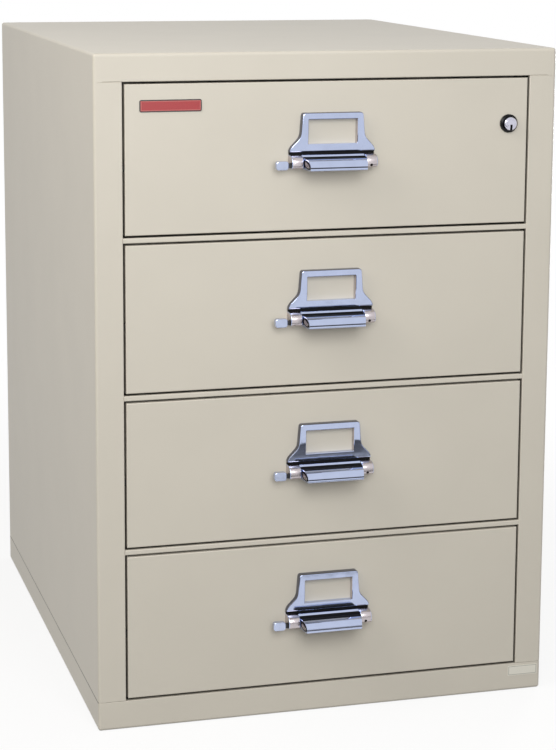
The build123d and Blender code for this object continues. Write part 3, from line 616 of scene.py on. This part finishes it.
# %% Dress the solids
FINISHES = {
    "cabinet_enamel": cabinet_enamel,
    "liner_enamel": liner_enamel,
    "gypsum": gypsum,
    "zinc_plate": zinc_plate,
    "chrome_casting": chrome_casting,
    "lock_chrome": lock_chrome,
    "black_collar": black_collar,
    "badge_enamel": badge_enamel,
    "label_film": label_film,
}
for part in frame["record"]["subparts"]:
    solid = frame["nodes"][part["node"]]
    solid.data.materials.clear()
    solid.data.materials.append(FINISHES[part["material_slot"]])
for name in ("left_side_panel", "right_side_panel", "top_panel", "base_pan", "frame_rails"):
    frame["nodes"][name].data.materials[0] = shaded_frame_enamel
for drawer in DRAWERS:
    latch = frame["nodes"][drawer.replace("drawer", "thumb_latch")]
    latch.data.materials[0] = latch_chrome

# %% [markdown]
# Outlines
#
# The castings are built the way a pattern maker cuts them: from side and front outlines. An outline is a
# closed row of points in a plane with its corners rounded off.

# %% Outlines
ROUND_STEPS = 4


def rounded(corners):
    """A closed outline from corners (across, up, cut), each rounded off over `cut` on both its sides."""
    points = []
    for i, (across, up, cut) in enumerate(corners):
        corner = Vector((across, up))
        if not cut:
            points.append(corner)
            continue
        before = Vector(corners[i - 1][:2]) - corner
        after = Vector(corners[(i + 1) % len(corners)][:2]) - corner
        start, end = corner + before.normalized() * cut, corner + after.normalized() * cut
        for step in range(ROUND_STEPS + 1):
            t = step / ROUND_STEPS
            points.append(start * (1 - t) ** 2 + corner * 2 * t * (1 - t) + end * t**2)
    return points


def side_after(points, i):
    """The side of an outline that starts at its point i."""
    return points[(i + 1) % len(points)] - points[i]


def inset(points, distance):
    """An anticlockwise outline moved inwards all round, or outwards where the distance is negative."""
    moved = []
    for i, point in enumerate(points):
        before, after = side_after(points, i - 1).normalized(), side_after(points, i).normalized()
        half = (before + after).normalized()
        moved.append(point + Vector((-half.y, half.x)) * (distance / half.dot(after)))
    return moved


print("outlines ready")

# %% [markdown]
# Skins
#
# A solid is a few outlines placed in space one behind the other, with a skin drawn between neighbours and
# a flat face at each end. Where an outline has a window in it, that end is a ring of four faces.

# %% Skins
def row(bm, points, place):
    """Vertices for an outline, each put in space by `place`."""
    return [bm.verts.new(place(point)) for point in points]


def skin(bm, first, second, finish=0, leave=()):
    """Faces between two rows of the same length, but for the strips in `leave`."""
    for i in range(len(first)):
        j = (i + 1) % len(first)
        if i not in leave:
            face = bm.faces.new((first[i], first[j], second[j], second[i]))
            face.material_index = finish(i) if callable(finish) else finish


def cap(bm, rows, finish=0):
    """Closes each of these rows of vertices with one flat face."""
    for corners in rows:
        bm.faces.new(corners).material_index = finish


def stretch(points, start, end):
    """The points from one index to another, going on past the last to the first where it has to."""
    return [points[i % len(points)] for i in range(start, end + 1 + len(points) * (end < start))]


def ring(bm, outer, inner, finish=0):
    """Four flat faces between an outline and a window of four corners in it."""
    quarter = len(inner) // 4
    splits = []
    for turn in range(quarter // 2, len(inner), quarter):
        nearest = min(range(len(outer)), key=lambda i: (outer[i].co - inner[turn].co).length)
        splits.append((nearest, turn))
    for (outer_start, inner_start), (outer_end, inner_end) in zip(splits, splits[1:] + splits[:1]):
        outside, inside = stretch(outer, outer_start, outer_end), stretch(inner, inner_start, inner_end)
        bm.faces.new(outside + inside[::-1]).material_index = finish


def paint(faces, finish):
    """Gives these faces a finish, by its place in the mesh's list."""
    for face in faces:
        face.material_index = finish


def faces_at(vertices):
    """All faces that meet these vertices."""
    return {face for vertex in vertices for face in vertex.link_faces}


print("skins ready")

# %% [markdown]
# Finished pieces
#
# A mesh is finished by turning its faces outwards and by marking which edges stay sharp. The piece then
# rides on the body that carries it on the real cabinet, so it moves with its drawer, slide or lock.

# %% Finished pieces
def finished_mesh(bm, name, finishes, sharp=0.6):
    """Ends the work on a closed mesh: smooth but for edges sharper than `sharp` radians."""
    bmesh.ops.recalc_face_normals(bm, faces=bm.faces[:])
    for face in bm.faces:
        face.smooth = True
    for edge in bm.edges:
        edge.smooth = len(edge.link_faces) == 2 and edge.calc_face_angle(0) < sharp
    mesh = plain_mesh(bm, name)
    for finish in finishes:
        mesh.materials.append(finish)
    return mesh


def open_edges(mesh):
    """How many edges don't join exactly two faces; 0 for closed solids."""
    bm = bmesh.new()
    bm.from_mesh(mesh)
    count = sum(len(edge.link_faces) != 2 for edge in bm.edges)
    bm.free()
    return count


def piece(name, mesh, body):
    """A finished piece of the cabinet, riding on its body."""
    made = new_object(name, mesh)
    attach(made, body)
    return made


print("pieces ready")

# %% [markdown]
# The pull's label frame
#
# The upper half of each pull is a flat frame, narrower at the top, whose window shows the drawer's own
# paint; a card slides in behind it. The rows below go from the back, over a rolled edge to the front, and
# through the window again to the back. The flat front is then cut across at several heights and pressed
# in a little, because the legs of the real one are hollowed towards the crease.

# %% Label frame
PLAIN, CHEEK, DARK_REFLECTION, SHADE_BLACK = range(4)  # places in the casting's list of finishes
PULL_HALF = 59.3
FRAME_HALF = [
    (PULL_HALF, 6.0, 0), (PULL_HALF, 8.5, 0.8), (57.0, 13.0, 2.0), (44.5, 26.0, 6.0), (42.0, 58.0, 4.0),
]
WINDOW_HALF, WINDOW_LOW, WINDOW_HIGH = 34.0, 16.5, 49.5
WINDOW_CORNER = 0.8
FRAME_REACH = 10.0
FRAME_HOLLOW = [
    (6.0, 7.1), (15.1, 8.25), (20.3, 8.85), (26.5, 9.6), (30.4, 10.0), (34.6, 10.15), (58.0, 10.15),
]  # reach of the front at heights above the face's centre: it leans back towards the crease
QUARTER_ROUND = [(0.0, 1.0), (0.13, 0.5), (0.5, 0.13), (1.0, 0.0)]  # shares of a roll, inwards and back
FRAME_ROLL, WINDOW_ROLL = 1.3, 0.6
ROLL_SUPPORT = (1.35, 0.0)  # a narrow flat row beside the roll keeps the tone of the front even
WINDOW_SUPPORT = 0.45
DARK_ROWS = 3  # skins, counted from the back, painted darker above and on the left as a reflection
SLANT = 0.3  # the outline's right side stays bright where it leans less than this from upright


def frame_front(up):
    """Reach of the frame's hollowed front at this height."""
    for (low, low_reach), (high, high_reach) in zip(FRAME_HOLLOW, FRAME_HOLLOW[1:]):
        if up <= high:
            return low_reach + (high_reach - low_reach) * max(up - low, 0) / (high - low)
    return FRAME_HOLLOW[-1][1]


def at_front(set_back):
    """Puts a front outline `set_back` behind the frame's front."""
    return lambda p: Vector((p.x * MM, FACE_PLANE - (FRAME_REACH - set_back) * MM, p.y * MM))


def add_label_frame(casting_bm):
    """The flat frame round the label window, with its hollowed front."""
    bm = bmesh.new()
    outline = rounded(FRAME_HALF + [(-across, up, cut) for across, up, cut in reversed(FRAME_HALF)])
    corners = ((1, WINDOW_LOW), (1, WINDOW_HIGH), (-1, WINDOW_HIGH), (-1, WINDOW_LOW))
    window = rounded([(side * WINDOW_HALF, up, WINDOW_CORNER) for side, up in corners])
    back = row(bm, outline, at_front(FRAME_REACH))
    roll = [
        row(bm, inset(outline, FRAME_ROLL * share), at_front(FRAME_ROLL * drop))
        for share, drop in QUARTER_ROUND + [ROLL_SUPPORT]
    ]
    flat = row(bm, inset(window, -WINDOW_ROLL - WINDOW_SUPPORT), at_front(0))
    rim = row(bm, inset(window, -WINDOW_ROLL), at_front(0))
    wall = row(bm, window, at_front(WINDOW_ROLL))
    end = row(bm, window, at_front(FRAME_REACH))

    # Painted reflection: rows of the roll that face up or to the left take the darker chrome.
    def dark_reflection_above_and_left(i):
        along = side_after(outline, i)
        return DARK_REFLECTION if along.y < SLANT * abs(along.x) or along.x < -SLANT * abs(along.y) else PLAIN

    # Painted reflection: the window's right wall takes the cheeks' pinkish chrome.
    def right_wall_painted_reflection(i):
        along = side_after(window, i)
        return CHEEK if along.y > abs(along.x) else PLAIN

    for i, (lower, upper) in enumerate(zip([back] + roll, roll)):
        skin(bm, lower, upper, dark_reflection_above_and_left if i < DARK_ROWS else PLAIN)
    ring(bm, roll[-1], flat)
    skin(bm, flat, rim)
    skin(bm, rim, wall)
    skin(bm, wall, end, right_wall_painted_reflection)
    ring(bm, back, end, DARK_REFLECTION)
    for height, _ in FRAME_HOLLOW[1:-1]:
        everything = bm.verts[:] + bm.edges[:] + bm.faces[:]
        bmesh.ops.bisect_plane(bm, geom=everything, plane_co=(0, 0, height * MM), plane_no=(0, 0, 1))
    for vertex in bm.verts:
        if FACE_PLANE - vertex.co.y > FRAME_REACH * MM / 2:
            vertex.co.y -= (frame_front(vertex.co.z / MM) - FRAME_REACH) * MM
    casting_bm.from_mesh(plain_mesh(bm, "label_frame"))


print("label frame ready")

# %% [markdown]
# The pull's grip
#
# Below the frame a crease, painted deep black as shade, then the grip: a root, a furrow whose top is
# painted black as shade, and a broad bar with a rolled nose and a lip below it. It is hollow behind and
# open downwards, which is where the fingers go, and each of its ends has a small pale lens in a black rim,
# the rim painted shade. The side outlines give reach from the drawer's face and height above the face's
# centre.

# %% Grip
GRIP_HALF = 43.3
GRIP_WALL = 3.0
GRIP_OUTSIDE = [
    (0.0, 2.5, 0), (9.0, 2.5, 1.0), (10.9, 0.0, 0), (12.8, -2.3, 1.4), (17.4, -2.9, 1.4), (20.6, -0.7, 1.5),
    (25.5, -1.0, 2.5), (28.2, -1.6, 0), (33.5, -2.7, 2.8), (39.0, -8.8, 2.35), (39.0, -11.2, 0),
    (39.0, -12.1, 0.5), (38.1, -12.5, 0.3), (39.0, -13.1, 0.5), (39.0, -15.5, 0.7), (37.9, -16.2, 0),
    (0.0, -16.2, 0),
]
GRIP_INSIDE = [
    (36.0, -16.2, 0), (36.0, -10.4, 2.2), (33.2, -6.9, 2.2), (25.0, -3.8, 1.5), (21.6, -3.6, 1.5),
    (18.6, -5.6, 1.0), (11.6, -5.4, 1.0), (8.0, -0.6, 1.0), (3.0, -0.6, 0), (3.0, -16.2, 0),
]
END_TAPER = 4.0  # how much shorter the bar is at its nose than at the cheeks, at each end
TAPER_FROM, TAPER_TO = 20.0, 39.0
FURROW_FROM, FURROW_TO, FURROW_LOW = 10.9, 28.2, -6.0  # reach, and least height, of the top painted black as shade
NOSE_FROM = 37.0
NOSE_BAND = (-13.0, -11.2)  # heights of the band under the bar's nose that is painted as a dark reflection
LENS = [
    (23.4, -11.2, 3.0), (30.5, -14.6, 3.0), (37.2, -14.0, 2.0), (36.4, -7.6, 3.0), (28.5, -4.0, 3.0),
    (22.8, -3.1, 1.2),
]
LENS_RIM = 1.7
LENS_PROUD = 0.25
LENS_ROOT = 1.0  # how deep it stands in the bar


def at_side(x):
    """Puts a side outline at this distance across the pull."""
    return lambda p: Vector((x * MM, FACE_PLANE - p.x * MM, p.y * MM))


def at_bar_end(x):
    """The same, but leaning inwards from the cheeks to the nose."""

    def place(p):
        lean = END_TAPER * min(max((p.x - TAPER_FROM) / (TAPER_TO - TAPER_FROM), 0), 1)
        return at_side(x - math.copysign(lean, x))(p)

    return place


def add_grip(bm):
    """The hollow bar with its lenses."""
    outside, inside = rounded(GRIP_OUTSIDE), rounded(GRIP_INSIDE)
    room_half = GRIP_HALF - GRIP_WALL
    left, right = (row(bm, outside, at_bar_end(x)) for x in (-GRIP_HALF, GRIP_HALF))
    room_left, room_right = (row(bm, inside, at_bar_end(x)) for x in (-room_half, room_half))

    # Painted shade and reflection: the furrow's top is black, and a band under the nose takes the darker
    # chrome.
    def painted_shade_in_furrows(i):
        middle = outside[i] + side_after(outside, i) / 2
        in_furrow = FURROW_FROM < middle.x < FURROW_TO and middle.y > FURROW_LOW
        under_nose = middle.x > NOSE_FROM and NOSE_BAND[0] < middle.y < NOSE_BAND[1]
        return SHADE_BLACK if in_furrow else DARK_REFLECTION if under_nose else PLAIN

    skin(bm, left, right, painted_shade_in_furrows, leave=(len(outside) - 2,))
    skin(bm, room_left, room_right, DARK_REFLECTION, leave=(len(inside) - 1,))
    bottoms = (
        (left[-2], right[-2], room_right[0], room_left[0]),
        (right[-1], left[-1], room_left[-1], room_right[-1]),
        (left[-1], left[-2], room_left[0], room_left[-1]),
        (right[-2], right[-1], room_right[-1], room_right[0]),
    )
    cap(bm, bottoms, CHEEK)
    cap(bm, (room_left, room_right), DARK_REFLECTION)
    cap(bm, (left, right), PLAIN)
    for side in (-1, 1):
        # Painted shade: the lens's outer ring is black, and its centre takes the cheeks' paler chrome.
        for inward, proud, finish in ((0.0, LENS_PROUD, SHADE_BLACK), (LENS_RIM, 2 * LENS_PROUD, CHEEK)):
            shape = inset(rounded(LENS), inward)
            foot = row(bm, shape, at_bar_end(side * (GRIP_HALF - LENS_ROOT)))
            top = row(bm, shape, at_bar_end(side * (GRIP_HALF + proud)))
            skin(bm, foot, top, finish)
            cap(bm, (foot, top), finish)


print("grip ready")

# %% [markdown]
# Cheeks, and how they are carved
#
# Two cheeks with rolled edges close the grip's ends against the drawer. The left one is hollow for the
# latch's link, with a slot in its side for the tab's shank, and the right one has a small blind hole beside
# the bar. Hollow, slot and hole are cut with a boolean, whose result is kept as a plain mesh, and the faces
# they leave are painted black as shade.

# %% Cheeks
CHEEK_SIDE = [
    (-1.5, -15.5, 0), (17.0, -15.5, 2.5), (21.0, -12.2, 2.5), (21.0, -4.0, 2.5), (17.5, 0.4, 2.5),
    (9.0, 2.5, 1.0), (-1.5, 2.5, 0),
]
CHEEK_ROLL = 1.1
ROOM = ((-56.8, -48.3), (-17.5, 1.0), (-13.9, -6.9))  # link's room, from the face's plane and centre
SHANK_SLOT = ((-60.5, -56.0), (-17.5, -11.5), (-13.9, -6.9))
PIN_X, PIN_UP, PIN_REACH = 50.6, -11.8, 21.0
PIN_R, PIN_DEPTH = 1.9, 6.0


def add_prism(bm, outline, x0, x1, finish=PLAIN):
    """A closed solid with this side outline from x0 to x1."""
    near, far = row(bm, outline, at_side(x0)), row(bm, outline, at_side(x1))
    skin(bm, near, far, finish)
    cap(bm, (near, far), finish)


def add_box(bm, limits, finish):
    """A box between these limits across, back and up."""
    corners = bmesh.ops.create_cube(bm, size=1.0)["verts"]
    for vertex in corners:
        place = [axis[0] if part < 0 else axis[1] for axis, part in zip(limits, vertex.co)]
        vertex.co = Vector(place) * MM + Vector((0, FACE_PLANE, 0))
    paint(faces_at(corners), finish)


def add_cheek(bm, x0, x1):
    """A cheek with rolled ends; its back is kept flat on the drawer's face."""
    outline = rounded(CHEEK_SIDE)
    stations = [(share, x0 + CHEEK_ROLL * drop) for share, drop in reversed(QUARTER_ROUND)]
    stations += [(share, x1 - CHEEK_ROLL * drop) for share, drop in QUARTER_ROUND]
    rows = []
    for share, x in stations:
        flat_backed = [Vector((max(p.x, 0), p.y)) for p in inset(outline, CHEEK_ROLL * share)]
        rows.append(row(bm, flat_backed, at_side(x)))
    for i, (near, far) in enumerate(zip(rows, rows[1:])):
        skin(bm, near, far, CHEEK if i == len(QUARTER_ROUND) - 1 else PLAIN)
    cap(bm, (rows[0], rows[-1]), CHEEK)


def carved(mesh, cutter):
    """The mesh with the cutter taken out of it."""
    target, tool = new_object("uncut", mesh), new_object("cutter", cutter)
    cut = target.modifiers.new("cut", "BOOLEAN")
    cut.operation = "DIFFERENCE"
    cut.solver = "EXACT"
    cut.object = tool
    result = bpy.data.meshes.new_from_object(target.evaluated_get(bpy.context.evaluated_depsgraph_get()))
    bpy.data.objects.remove(target)
    bpy.data.objects.remove(tool)
    return result


bm = bmesh.new()
add_cheek(bm, -PULL_HALF, -GRIP_HALF)
add_cheek(bm, GRIP_HALF, PULL_HALF)
bmesh.ops.recalc_face_normals(bm, faces=bm.faces[:])
cheeks = plain_mesh(bm, "cheeks")

bm = bmesh.new()
# Painted shade: the faces left by the cut take the black.
add_box(bm, ROOM, SHADE_BLACK)
add_box(bm, SHANK_SLOT, SHADE_BLACK)
pin_place = Matrix.Translation((PIN_X * MM, FACE_PLANE - PIN_REACH * MM, PIN_UP * MM))
pin = bmesh.ops.create_cone(
    bm, cap_ends=True, segments=20, radius1=PIN_R * MM, radius2=PIN_R * MM, depth=2 * PIN_DEPTH * MM,
    matrix=pin_place @ Matrix.Rotation(math.pi / 2, 4, "X"),
)
paint(faces_at(pin["verts"]), SHADE_BLACK)
bmesh.ops.recalc_face_normals(bm, faces=bm.faces[:])
carved_cheeks = carved(cheeks, plain_mesh(bm, "cutter"))
print("cheeks carved,", open_edges(carved_cheeks), "open edges")

# %% [markdown]
# The finished casting
#
# Frame, crease, grip and cheeks become one casting, and each drawer gets its own copy at the middle of its
# face, in place of the plain solid.

# %% Casting
CREASE_REACH = 4.0
CREASE_LOW, CREASE_HIGH = 0.0, 7.0
CREASE_HALF = PULL_HALF - 0.4

bm = bmesh.new()
bm.from_mesh(carved_cheeks)
add_label_frame(bm)
add_grip(bm)
# Painted shade: the crease is a black solid that fills the gap between frame and grip.
crease = [
    (0, CREASE_LOW, 0), (CREASE_REACH, CREASE_LOW, 0), (CREASE_REACH, CREASE_HIGH, 0), (0, CREASE_HIGH, 0),
]
add_prism(bm, rounded(crease), -CREASE_HALF, CREASE_HALF, SHADE_BLACK)
casting = finished_mesh(bm, "pull_casting", (chrome_casting, chrome_cheek, chrome_dark_reflection, recess_shade_black))
print("casting", len(casting.polygons), "faces,", open_edges(casting), "open edges")

for drawer in DRAWERS:
    own = casting.copy()
    own.transform(Matrix.Translation((0, 0, middle_of(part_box(f"{drawer}_face")))))
    pull = piece(f"{drawer}_pull_casting", own, drawer)
    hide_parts(f"{drawer}_pull")
print("pulls fitted")

# %% [markdown]
# Turned parts
#
# Screws, rivets and the lock's barrel are turned on a lathe, and are made here in the same way: half an
# outline, as pairs of radius and height, is spun once round its axis, and the seam and the two points on
# the axis are merged. Where a recess is needed, it is cut out afterwards, and its faces are painted black
# as shade.

# %% Turned parts
FOOT = 0.3  # how deep the head of a screw or rivet stands in the sheet
DOME = ((1.0, 0.3), (0.92, 0.62), (0.6, 0.92), (0.0, 1.0))  # shares of a head's radius and height
BACK, FORWARD = (0, 1, 0), (0, -1, 0)


def turned(name, profile, steps):
    """A closed solid from (radius, height) pairs spun round Z, from the axis below to the axis above."""
    bm = bmesh.new()
    points = [bm.verts.new((radius * MM, 0, height * MM)) for radius, height in profile]
    edges = [bm.edges.new(pair) for pair in zip(points, points[1:])]
    bmesh.ops.spin(
        bm, geom=points + edges, axis=(0, 0, 1), cent=(0, 0, 0), angle=math.tau, steps=steps, use_merge=True
    )
    bmesh.ops.remove_doubles(bm, verts=bm.verts[:], dist=0.001 * MM)
    bmesh.ops.recalc_face_normals(bm, faces=bm.faces[:])
    return plain_mesh(bm, name)


def block_cutter(low, high):
    """A box to cut with. What it cuts is painted black as shade."""
    bm = bmesh.new()
    size, middle = Vector(high) - Vector(low), (Vector(high) + Vector(low)) / 2
    placed = Matrix.Translation(middle * MM) @ Matrix.Diagonal((*size, 1))
    bmesh.ops.create_cube(bm, size=MM, matrix=placed)
    paint(bm.faces, 1)
    return plain_mesh(bm, "block_cutter")


def pan_head(radius, height):
    """A screw's domed head with a cross recess, standing on Z = 0."""
    dome = [(wide * radius, up * height) for wide, up in DOME]
    head = turned("pan_head", [(0, -FOOT), (radius, -FOOT)] + dome, 20)
    long, narrow, recess = 0.56 * radius, 0.13 * radius, 0.35 * height
    # Painted shade: the cross recess is black inside.
    for across, up in ((long, narrow), (narrow, long)):
        head = carved(head, block_cutter((-across, -up, recess), (across, up, 2 * height)))
    return head


def add_copies(bm, template, places, facing):
    """Puts a copy of a small part at each place, its own Z pointing along `facing`."""
    turn = Vector(facing).to_track_quat("Z", "Y").to_matrix().to_4x4()
    for place in places:
        copy = template.copy()
        copy.transform(Matrix.Translation(Vector(place) * MM) @ turn)
        bm.from_mesh(copy)
        bpy.data.meshes.remove(copy)


large_screw = pan_head(4.6, 2.4)
small_screw = pan_head(3.4, 1.3)
print("screw head", len(large_screw.polygons), "faces")

# %% [markdown]
# The lock
#
# The barrel stands out of its black collar, and is pushed in to lock. Its rim is bevelled, and a notch
# below the key plug lets the key's shoulder in. The solid's own arm, which lifts the lock bar, is kept:
# the copy of the solid is cut behind the bore and its front end replaced by a turned one. The plug is a
# second piece, because it turns.

# %% Barrel and key plug
BARREL_R, BARREL_BEVEL = 9.0, 1.9
BARREL_KEPT = 27.0  # from the barrel's front: the solid is kept behind this
BORE_R, BORE_DEPTH = 5.6, 20.1
PLUG_R, PLUG_LENGTH = 5.5, 20.5
PLUG_BEVEL, PLUG_DOME = (0.5, 0.4), 0.2
KEYWAY_HALF, KEYWAY_TOP, KEYWAY_DEPTH = 1.6, -0.8, 5.0
LOCK_SHARP = 0.5

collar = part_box("lock_collar")
lock_x, lock_z = middle_of(collar, "x") / MM, middle_of(collar) / MM
barrel_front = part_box("lock_plunger")[0].y / MM


def keyway_cut(mesh, radius, front):
    """A turned mesh of this radius, its front at `front` on Z, with the keyway cut out below the middle."""
    low = (-KEYWAY_HALF, -radius - 1, front - KEYWAY_DEPTH)
    return carved(mesh, block_cutter(low, (KEYWAY_HALF, KEYWAY_TOP, front + 1)))


barrel_profile = [
    (0, 0),
    (BARREL_R, 0),
    (BARREL_R, BARREL_KEPT - BARREL_BEVEL),
    (BARREL_R - 0.5 * BARREL_BEVEL, BARREL_KEPT - 0.3 * BARREL_BEVEL),
    (BARREL_R - BARREL_BEVEL, BARREL_KEPT),
    (BORE_R, BARREL_KEPT),
    (BORE_R, BARREL_KEPT - BORE_DEPTH),
    (0, BARREL_KEPT - BORE_DEPTH),
]
barrel = keyway_cut(turned("barrel", barrel_profile, 40), BARREL_R, BARREL_KEPT)

bm = bmesh.new()
bm.from_mesh(frame["nodes"]["lock_plunger"].data)
bmesh.ops.remove_doubles(bm, verts=bm.verts[:], dist=0.001 * MM)
cut = bmesh.ops.bisect_plane(
    bm,
    geom=bm.verts[:] + bm.edges[:] + bm.faces[:],
    plane_co=(0, (barrel_front + BARREL_KEPT) * MM, 0),
    plane_no=BACK,
    clear_inner=True,
)
bmesh.ops.holes_fill(bm, edges=[made for made in cut["geom_cut"] if isinstance(made, bmesh.types.BMEdge)])
paint(bm.faces, 0)
add_copies(bm, barrel, [(lock_x, barrel_front + BARREL_KEPT, lock_z)], FORWARD)
barrel_mesh = finished_mesh(bm, "lock_barrel", (lock_chrome, recess_shade_black), LOCK_SHARP)
lock_barrel = piece("lock_barrel", barrel_mesh, "lock_plunger")
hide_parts("lock_plunger")

plug_profile = [
    (0, 0),
    (PLUG_R, 0),
    (PLUG_R, PLUG_LENGTH - PLUG_BEVEL[1]),
    (PLUG_R - PLUG_BEVEL[0], PLUG_LENGTH),
    (0, PLUG_LENGTH + PLUG_DOME),
]
plug = keyway_cut(turned("plug", plug_profile, 32), PLUG_R, PLUG_LENGTH)
bm = bmesh.new()
add_copies(bm, plug, [(lock_x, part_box("key_plug")[1].y / MM, lock_z)], FORWARD)
plug_mesh = finished_mesh(bm, "lock_key_plug", (lock_chrome, recess_shade_black), LOCK_SHARP)
lock_key_plug = piece("lock_key_plug", plug_mesh, "key_plug")
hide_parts("key_plug")
lock_open = open_edges(barrel_mesh) + open_edges(plug_mesh)
print("lock", len(barrel_mesh.polygons), "faces,", lock_open, "open edges")

# %% [markdown]
# Screws
#
# The back panel is screwed on all round. Each drawer's head plate is screwed to the folded face, the tray
# is screwed to the plate from inside, and the slides to the tray. Each place is given once for a drawer
# and repeated for all four, and the screws of one body are one piece.

# %% Screws
BACK_SCREWS = [(side * 297.0, up) for side in (-1, 1) for up in (76.0, 274.0, 472.0, 670.0, 868.0)]
BACK_SCREWS += [(across, up) for across in (-150.0, 0.0, 150.0) for up in (53.0, 888.0)]
PLATE_SCREWS = [(-240.0, 88.0), (-80.0, 88.0), (80.0, 88.0), (240.0, 88.0)]
PLATE_SCREWS += [(side * 263.0, up) for side in (-1, 1) for up in (-78.0, 6.0, 66.0)]
TRAY_SCREWS = [(side * across, up) for side in (-1, 1) for across in (70.0, 210.0) for up in (-60.0, 22.0)]
TRAY_SHEET = 1.2
SLIDE_SCREWS_Y = (-305.0, -110.0, 90.0, 285.0)
SLIDE_WEB = 1.5

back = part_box("back_panel")[1].y / MM
bm = bmesh.new()
add_copies(bm, large_screw, [(across, back, up) for across, up in BACK_SCREWS], BACK)
piece("back_screws", finished_mesh(bm, "back_screws", (zinc_plate, recess_shade_black)), "cabinet")
for drawer in DRAWERS:
    centre = middle_of(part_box(f"{drawer}_face")) / MM
    plate_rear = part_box(f"{drawer}_head_plate")[1].y / MM
    slide_z = middle_of(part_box(f"{drawer}_slides")) / MM
    tray_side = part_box(f"{drawer}_tray")[1].x / MM
    bm = bmesh.new()
    add_copies(bm, small_screw, [(x, plate_rear, centre + up) for x, up in PLATE_SCREWS], BACK)
    add_copies(bm, small_screw, [(x, plate_rear + TRAY_SHEET, centre + up) for x, up in TRAY_SCREWS], BACK)
    for side in (-1, 1):
        web = [(side * (tray_side + SLIDE_WEB), y, slide_z) for y in SLIDE_SCREWS_Y]
        add_copies(bm, small_screw, web, (side, 0, 0))
    screws = finished_mesh(bm, f"{drawer}_screws", (zinc_plate, recess_shade_black))
    piece(f"{drawer}_screws", screws, drawer)
per_drawer = len(PLATE_SCREWS) + len(TRAY_SCREWS) + 2 * len(SLIDE_SCREWS_Y)
print(len(BACK_SCREWS), "screws in the back,", per_drawer, "in each drawer")

# %% [markdown]
# Slide buffers and follower levers
#
# A block of black nylon at the front of each middle slide takes the drawer's weight as it shuts. The lever
# behind each follower plate is pinched to let it slide along its rail: a strip bent outwards and up, held
# by two rivets.

# %% Buffers and levers
BUFFER_LENGTH, BUFFER_HALF, BUFFER_DEPTH = 9.0, 14.0, 5.2
BUFFER_BEVEL = 1.2
LEVER_SHEET = 1.3
LEVER_HALF = 22.0
LEVER_UP = 58.0  # lever's foot above the plate's foot
LEVER_SIDE = [
    (0.0, 0.0, 0), (-LEVER_SHEET, 0.0, 0), (-LEVER_SHEET, 21.0, 5.0), (-9.5, 42.0, 3.0), (-9.5, 50.0, 0),
    (-8.2, 50.0, 0), (-8.2, 42.3, 2.6), (0.0, 21.3, 4.6),
]
RIVET_R, RIVET_HIGH = 2.6, 1.3
RIVET_ACROSS, RIVET_UP = 12.0, 8.0

rivet_profile = [(0, -FOOT), (RIVET_R, -FOOT), (RIVET_R, 0.3), (1.9, 1.0), (0, RIVET_HIGH)]
rivet = turned("rivet", rivet_profile, 16)

for drawer in DRAWERS:
    number = drawer.split("_")[1]
    low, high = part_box(f"middle_slides_{number}")
    bm = bmesh.new()
    for side in (-1, 1):
        across = side * (high.x - (SLIDE_WEB + BUFFER_DEPTH / 2) * MM)
        place = (across, low.y + BUFFER_LENGTH / 2 * MM, middle_of((low, high)))
        size = Matrix.Diagonal((BUFFER_DEPTH, BUFFER_LENGTH, 2 * BUFFER_HALF, 1))
        bmesh.ops.create_cube(bm, size=MM, matrix=Matrix.Translation(place) @ size)
    bmesh.ops.bevel(
        bm, geom=bm.edges[:], offset=BUFFER_BEVEL * MM, segments=3, profile=0.5, affect="EDGES", material=-1
    )
    buffers = finished_mesh(bm, f"slide_buffers_{number}", (black_collar,))
    piece(f"slide_buffers_{number}", buffers, f"middle_{number}")

    low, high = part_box(f"{drawer}_follower")
    bm = bmesh.new()
    add_prism(bm, rounded(LEVER_SIDE), -LEVER_HALF, LEVER_HALF)
    lever_place = Vector((0, high.y - FACE_PLANE, low.z + LEVER_UP * MM))
    bmesh.ops.translate(bm, verts=bm.verts[:], vec=lever_place)
    rivet_y, rivet_z = high.y / MM + LEVER_SHEET, low.z / MM + LEVER_UP + RIVET_UP
    add_copies(bm, rivet, [(across, rivet_y, rivet_z) for across in (-RIVET_ACROSS, RIVET_ACROSS)], BACK)
    lever = finished_mesh(bm, f"follower_lever_{number}", (zinc_plate,))
    piece(f"follower_lever_{number}", lever, f"follower_{number}")
print("buffers and levers fitted, lever", open_edges(lever), "open edges")

# %% [markdown]
# Filled seams
#
# The joints between the top's front band and the two stiles are filled before spraying and sink a little
# as the filler dries, so they show as faint lines. Each is a thin bead with a rounded front.

# %% Filled seams
SEAM_WIDTH, SEAM_DEPTH = 0.6, 4.0
SEAM_SUNK = 0.45
SEAM_ROUND = 0.15
SEAM_ENDS = (283.0, 316.5)

front = (FACE_PLANE - CABINET_FRONT) / MM - SEAM_SUNK
foot = OPENING_HIGH - SEAM_WIDTH
seam_side = [
    (front - SEAM_DEPTH, foot, 0), (front, foot, SEAM_ROUND),
    (front, OPENING_HIGH, SEAM_ROUND), (front - SEAM_DEPTH, OPENING_HIGH, 0),
]
bm = bmesh.new()
for side in (-1, 1):
    add_prism(bm, rounded(seam_side), side * SEAM_ENDS[0], side * SEAM_ENDS[1])
fillings = finished_mesh(bm, "seam_fillings", (cabinet_enamel,))
piece("seam_fillings", fillings, "cabinet")
print("seams filled,", open_edges(fillings), "open edges")
